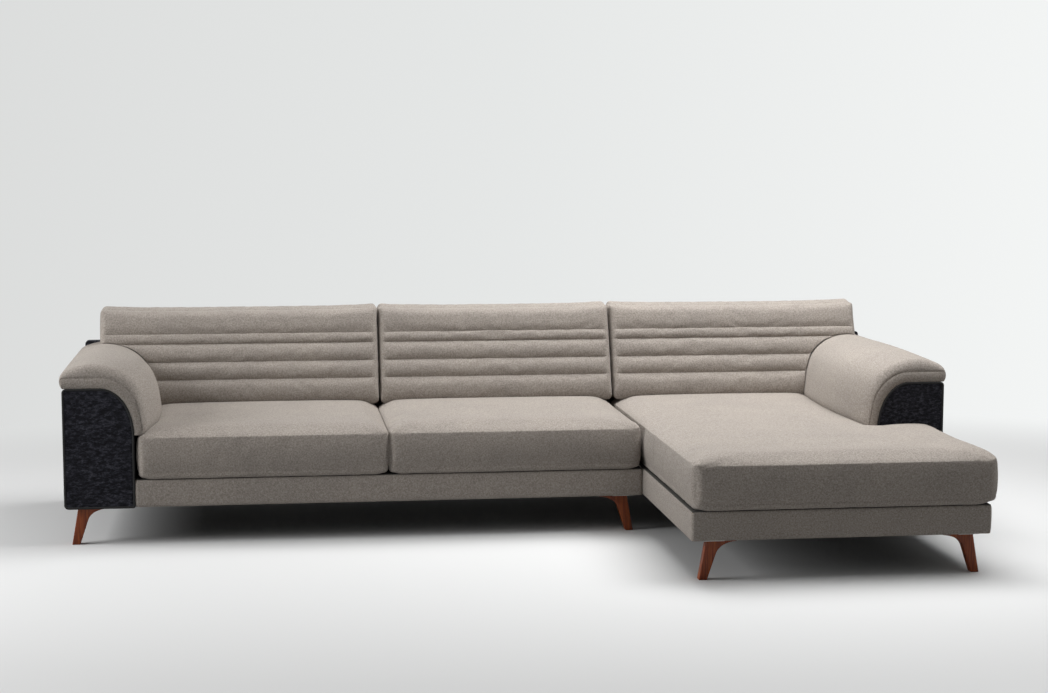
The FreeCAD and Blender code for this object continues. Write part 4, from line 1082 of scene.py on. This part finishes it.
def leg_outline(low, high, mirror):
    """The side view of a leg, worked out inside its box: a tapered foot that sweeps into a wing."""
    foot, splay, neck = mm(28, 24, 70)
    wing = high.x - low.x
    top = high.z - low.z
    knee = top - 16 * MM
    points = [(0, 0), (foot, 0)]
    points += [(foot + (neck - foot) * share * 0.72, knee * share * 0.76) for share in np.linspace(0.12, 1, 9)]
    start = np.array(points[-1])
    control = np.array([neck + 2 * MM, top - 10 * MM])
    end = np.array([wing, top - 5 * MM])
    for t in np.linspace(0, 1, 13)[1:]:
        points.append((1 - t) ** 2 * start + 2 * t * (1 - t) * control + t * t * end)
    points += [(wing, top), (splay, top)]
    points += [(splay * share, top * share) for share in np.linspace(0.85, 0.15, 5)]
    outline = np.array(points)
    if mirror:
        outline[:, 0] = wing - outline[:, 0]
        outline = outline[::-1]
    return outline + (low.x, low.z)


def leg(name, body):
    """One wooden leg, its long edges eased."""
    low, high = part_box(name)
    plane = leg_outline(low, high, "right" in name)
    count = len(plane)
    points = np.concatenate([upright(plane, low.y), upright(plane, high.y)])
    front, rear = list(range(count)), list(range(count, 2 * count))
    faces = [front, rear[::-1], *band_faces(front, rear)]
    piece = mesh_piece(name + "_wood", points, faces, "leg_wood", body, name)
    weld(piece)
    bevel = piece.modifiers.new("eased", "BEVEL")
    bevel.width = 3.5 * MM
    bevel.segments = 3
    bevel.limit_method = "ANGLE"
    bevel.angle_limit = math.radians(40)


# The room: a pale floor that fades into the backdrop tone, painted a little lighter to the right as if lit
# more from that side, soft lights and the camera.

# The backdrop tones run lighter to the right: painted light standing in for a backdrop lit more from the
# right.
PALE_LEFT, PALE_RIGHT = -0.13, 0.39
PALE_TONES = [(0.0, (0.715, 0.725, 0.720)), (0.5, (0.785, 0.80, 0.795)), (1.0, (0.895, 0.91, 0.905))]
FLOOR_REACH = 90.0
FLOOR_NEAR = (0.875, 0.88, 0.88)
FLOOR_SEEN = (0.71, 0.714, 0.714)
FLOOR_BOUNCE = (0.40, 0.40, 0.40)
SKY_COLOR = (1.0, 1.0, 0.99, 1.0)
SKY_LEVEL = 0.06
SKY_ZENITH = 0.24
LAMPS = (
    # Name, place, what it points at, width, height and watts.
    ("overhead", (1.3, 0.25, 3.1), (1.1, 0.0, 0.2), 3.8, 1.6, 148),
    ("left_side", (-4.4, -0.5, 2.0), (0.6, -0.2, 0.4), 2.4, 2.0, 138),
)
CAMERA_PLACE = (-0.8775, -6.9828, 1.4934)
CAMERA_TURN = (math.pi / 2 - 0.112911, -0.0017225, -0.133962)


def pale(graph, toward_x):
    """The backdrop's tone, a little lighter to the right: painted light, as if the backdrop were lit more from
    that side.
    """
    return graph.ramp(graph.share(toward_x, PALE_LEFT, PALE_RIGHT, "LINEAR"), PALE_TONES)


def length_of(graph, a, b):
    return graph.math("SQRT", graph.math("ADD", graph.math("MULTIPLY", a, a), graph.math("MULTIPLY", b, b)))


def studio_floor():
    """Pale matt floor. Away from the sofa it fades, for the camera alone, into the backdrop's tone."""
    graph = Graph("pale_floor")
    seen = graph.node("LightPath").outputs["Is Camera Ray"]
    graph.finish(graph.mix(seen, FLOOR_BOUNCE, FLOOR_SEEN), Roughness=0.9, Specular_IOR_Level=0.1)
    x, y, _ = graph.split(graph.place())
    across = graph.math("DIVIDE", graph.math("SUBTRACT", x, 0.1), 2.5)
    along = graph.math("DIVIDE", graph.math("ADD", y, 0.15), 1.75)
    fade = graph.share(length_of(graph, across, along), 1.02, 1.95)
    side = graph.math("ADD", x, 0.9)
    tone = pale(graph, graph.math("DIVIDE", side, length_of(graph, side, graph.math("ADD", y, 7.0))))
    far = graph.math("MAXIMUM", graph.share(y, 0.2, 3.0), graph.share(length_of(graph, x, y), 6.0, 15.0))
    glow = graph.node("Emission", {"Color": graph.mix(far, FLOOR_NEAR, tone)})
    faded = graph.math("MULTIPLY", fade, seen)
    both = graph.node("MixShader", {0: faded, 1: graph.shader, 2: glow})
    graph.plug(both, graph.tree.nodes["Material Output"].inputs["Surface"])
    return graph.material


def room():
    corners = [(x * FLOOR_REACH, y * FLOOR_REACH, 0) for x, y in ((-1, -1), (1, -1), (1, 1), (-1, 1))]
    mesh = bpy.data.meshes.new("floor")
    mesh.from_pydata(corners, [], [(0, 1, 2, 3)])
    mesh.materials.append(studio_floor())
    floor = added("floor", mesh)


def sky():
    """Soft light that is stronger from above; the camera and reflections see the pale backdrop instead."""
    world = bpy.data.worlds.new("studio")
    bpy.context.scene.world = world
    graph = Graph("studio", world)
    toward = graph.split(graph.node("TexCoord").outputs["Generated"])
    light = graph.tree.nodes["Background"]
    light.inputs["Color"].default_value = SKY_COLOR
    graph.plug(graph.scaled(toward[2], SKY_LEVEL, SKY_ZENITH), light.inputs["Strength"])
    shown = graph.node("Background", {"Color": pale(graph, toward[0])})
    path = graph.node("LightPath").outputs
    mirrored = graph.math("MAXIMUM", path["Is Glossy Ray"], path["Is Transmission Ray"])
    seen = graph.math("MAXIMUM", path["Is Camera Ray"], mirrored)
    both = graph.node("MixShader", {0: seen, 1: light, 2: shown})
    graph.plug(both, graph.tree.nodes["World Output"].inputs["Surface"])


def lights():
    sky()
    for name, place, target, width, height, power in LAMPS:
        data = bpy.data.lights.new(name, "AREA")
        data.shape = "RECTANGLE"
        data.size, data.size_y = width, height
        data.energy = power
        item = added(name, data)
        item.location = place
        item.rotation_euler = (Vector(target) - Vector(place)).to_track_quat("-Z", "Y").to_euler()


def camera():
    data = bpy.data.cameras.new("camera")
    item = added("camera", data)
    data.sensor_width = 36.0
    data.lens = 66.41
    data.clip_end = 300.0
    item.location = CAMERA_PLACE
    item.rotation_euler = CAMERA_TURN
    bpy.context.scene.camera = item


finish_cad_nodes()
seat_cushions()
for side, arm in (("left", -1), ("center", 0), ("right", 1)):
    back_cushion(f"back_cushion_{side}", arm)
for arm in ARMS:
    arm_pad(*arm)
for arm in ARMS:
    arm_cover(*arm)
plinths()
back_shell("sofa", SOFA)
back_shell("chaise", CHAISE)
for name in sorted(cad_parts):
    if "_leg_front" in name or "_leg_rear" in name:
        leg(name, SOFA if name.startswith("sofa") else CHAISE)
simulate()
for soft_piece, *_ in SOFT:
    subdivide(soft_piece)
room()
lights()
camera()
bpy.context.scene.view_settings.view_transform = "Standard"
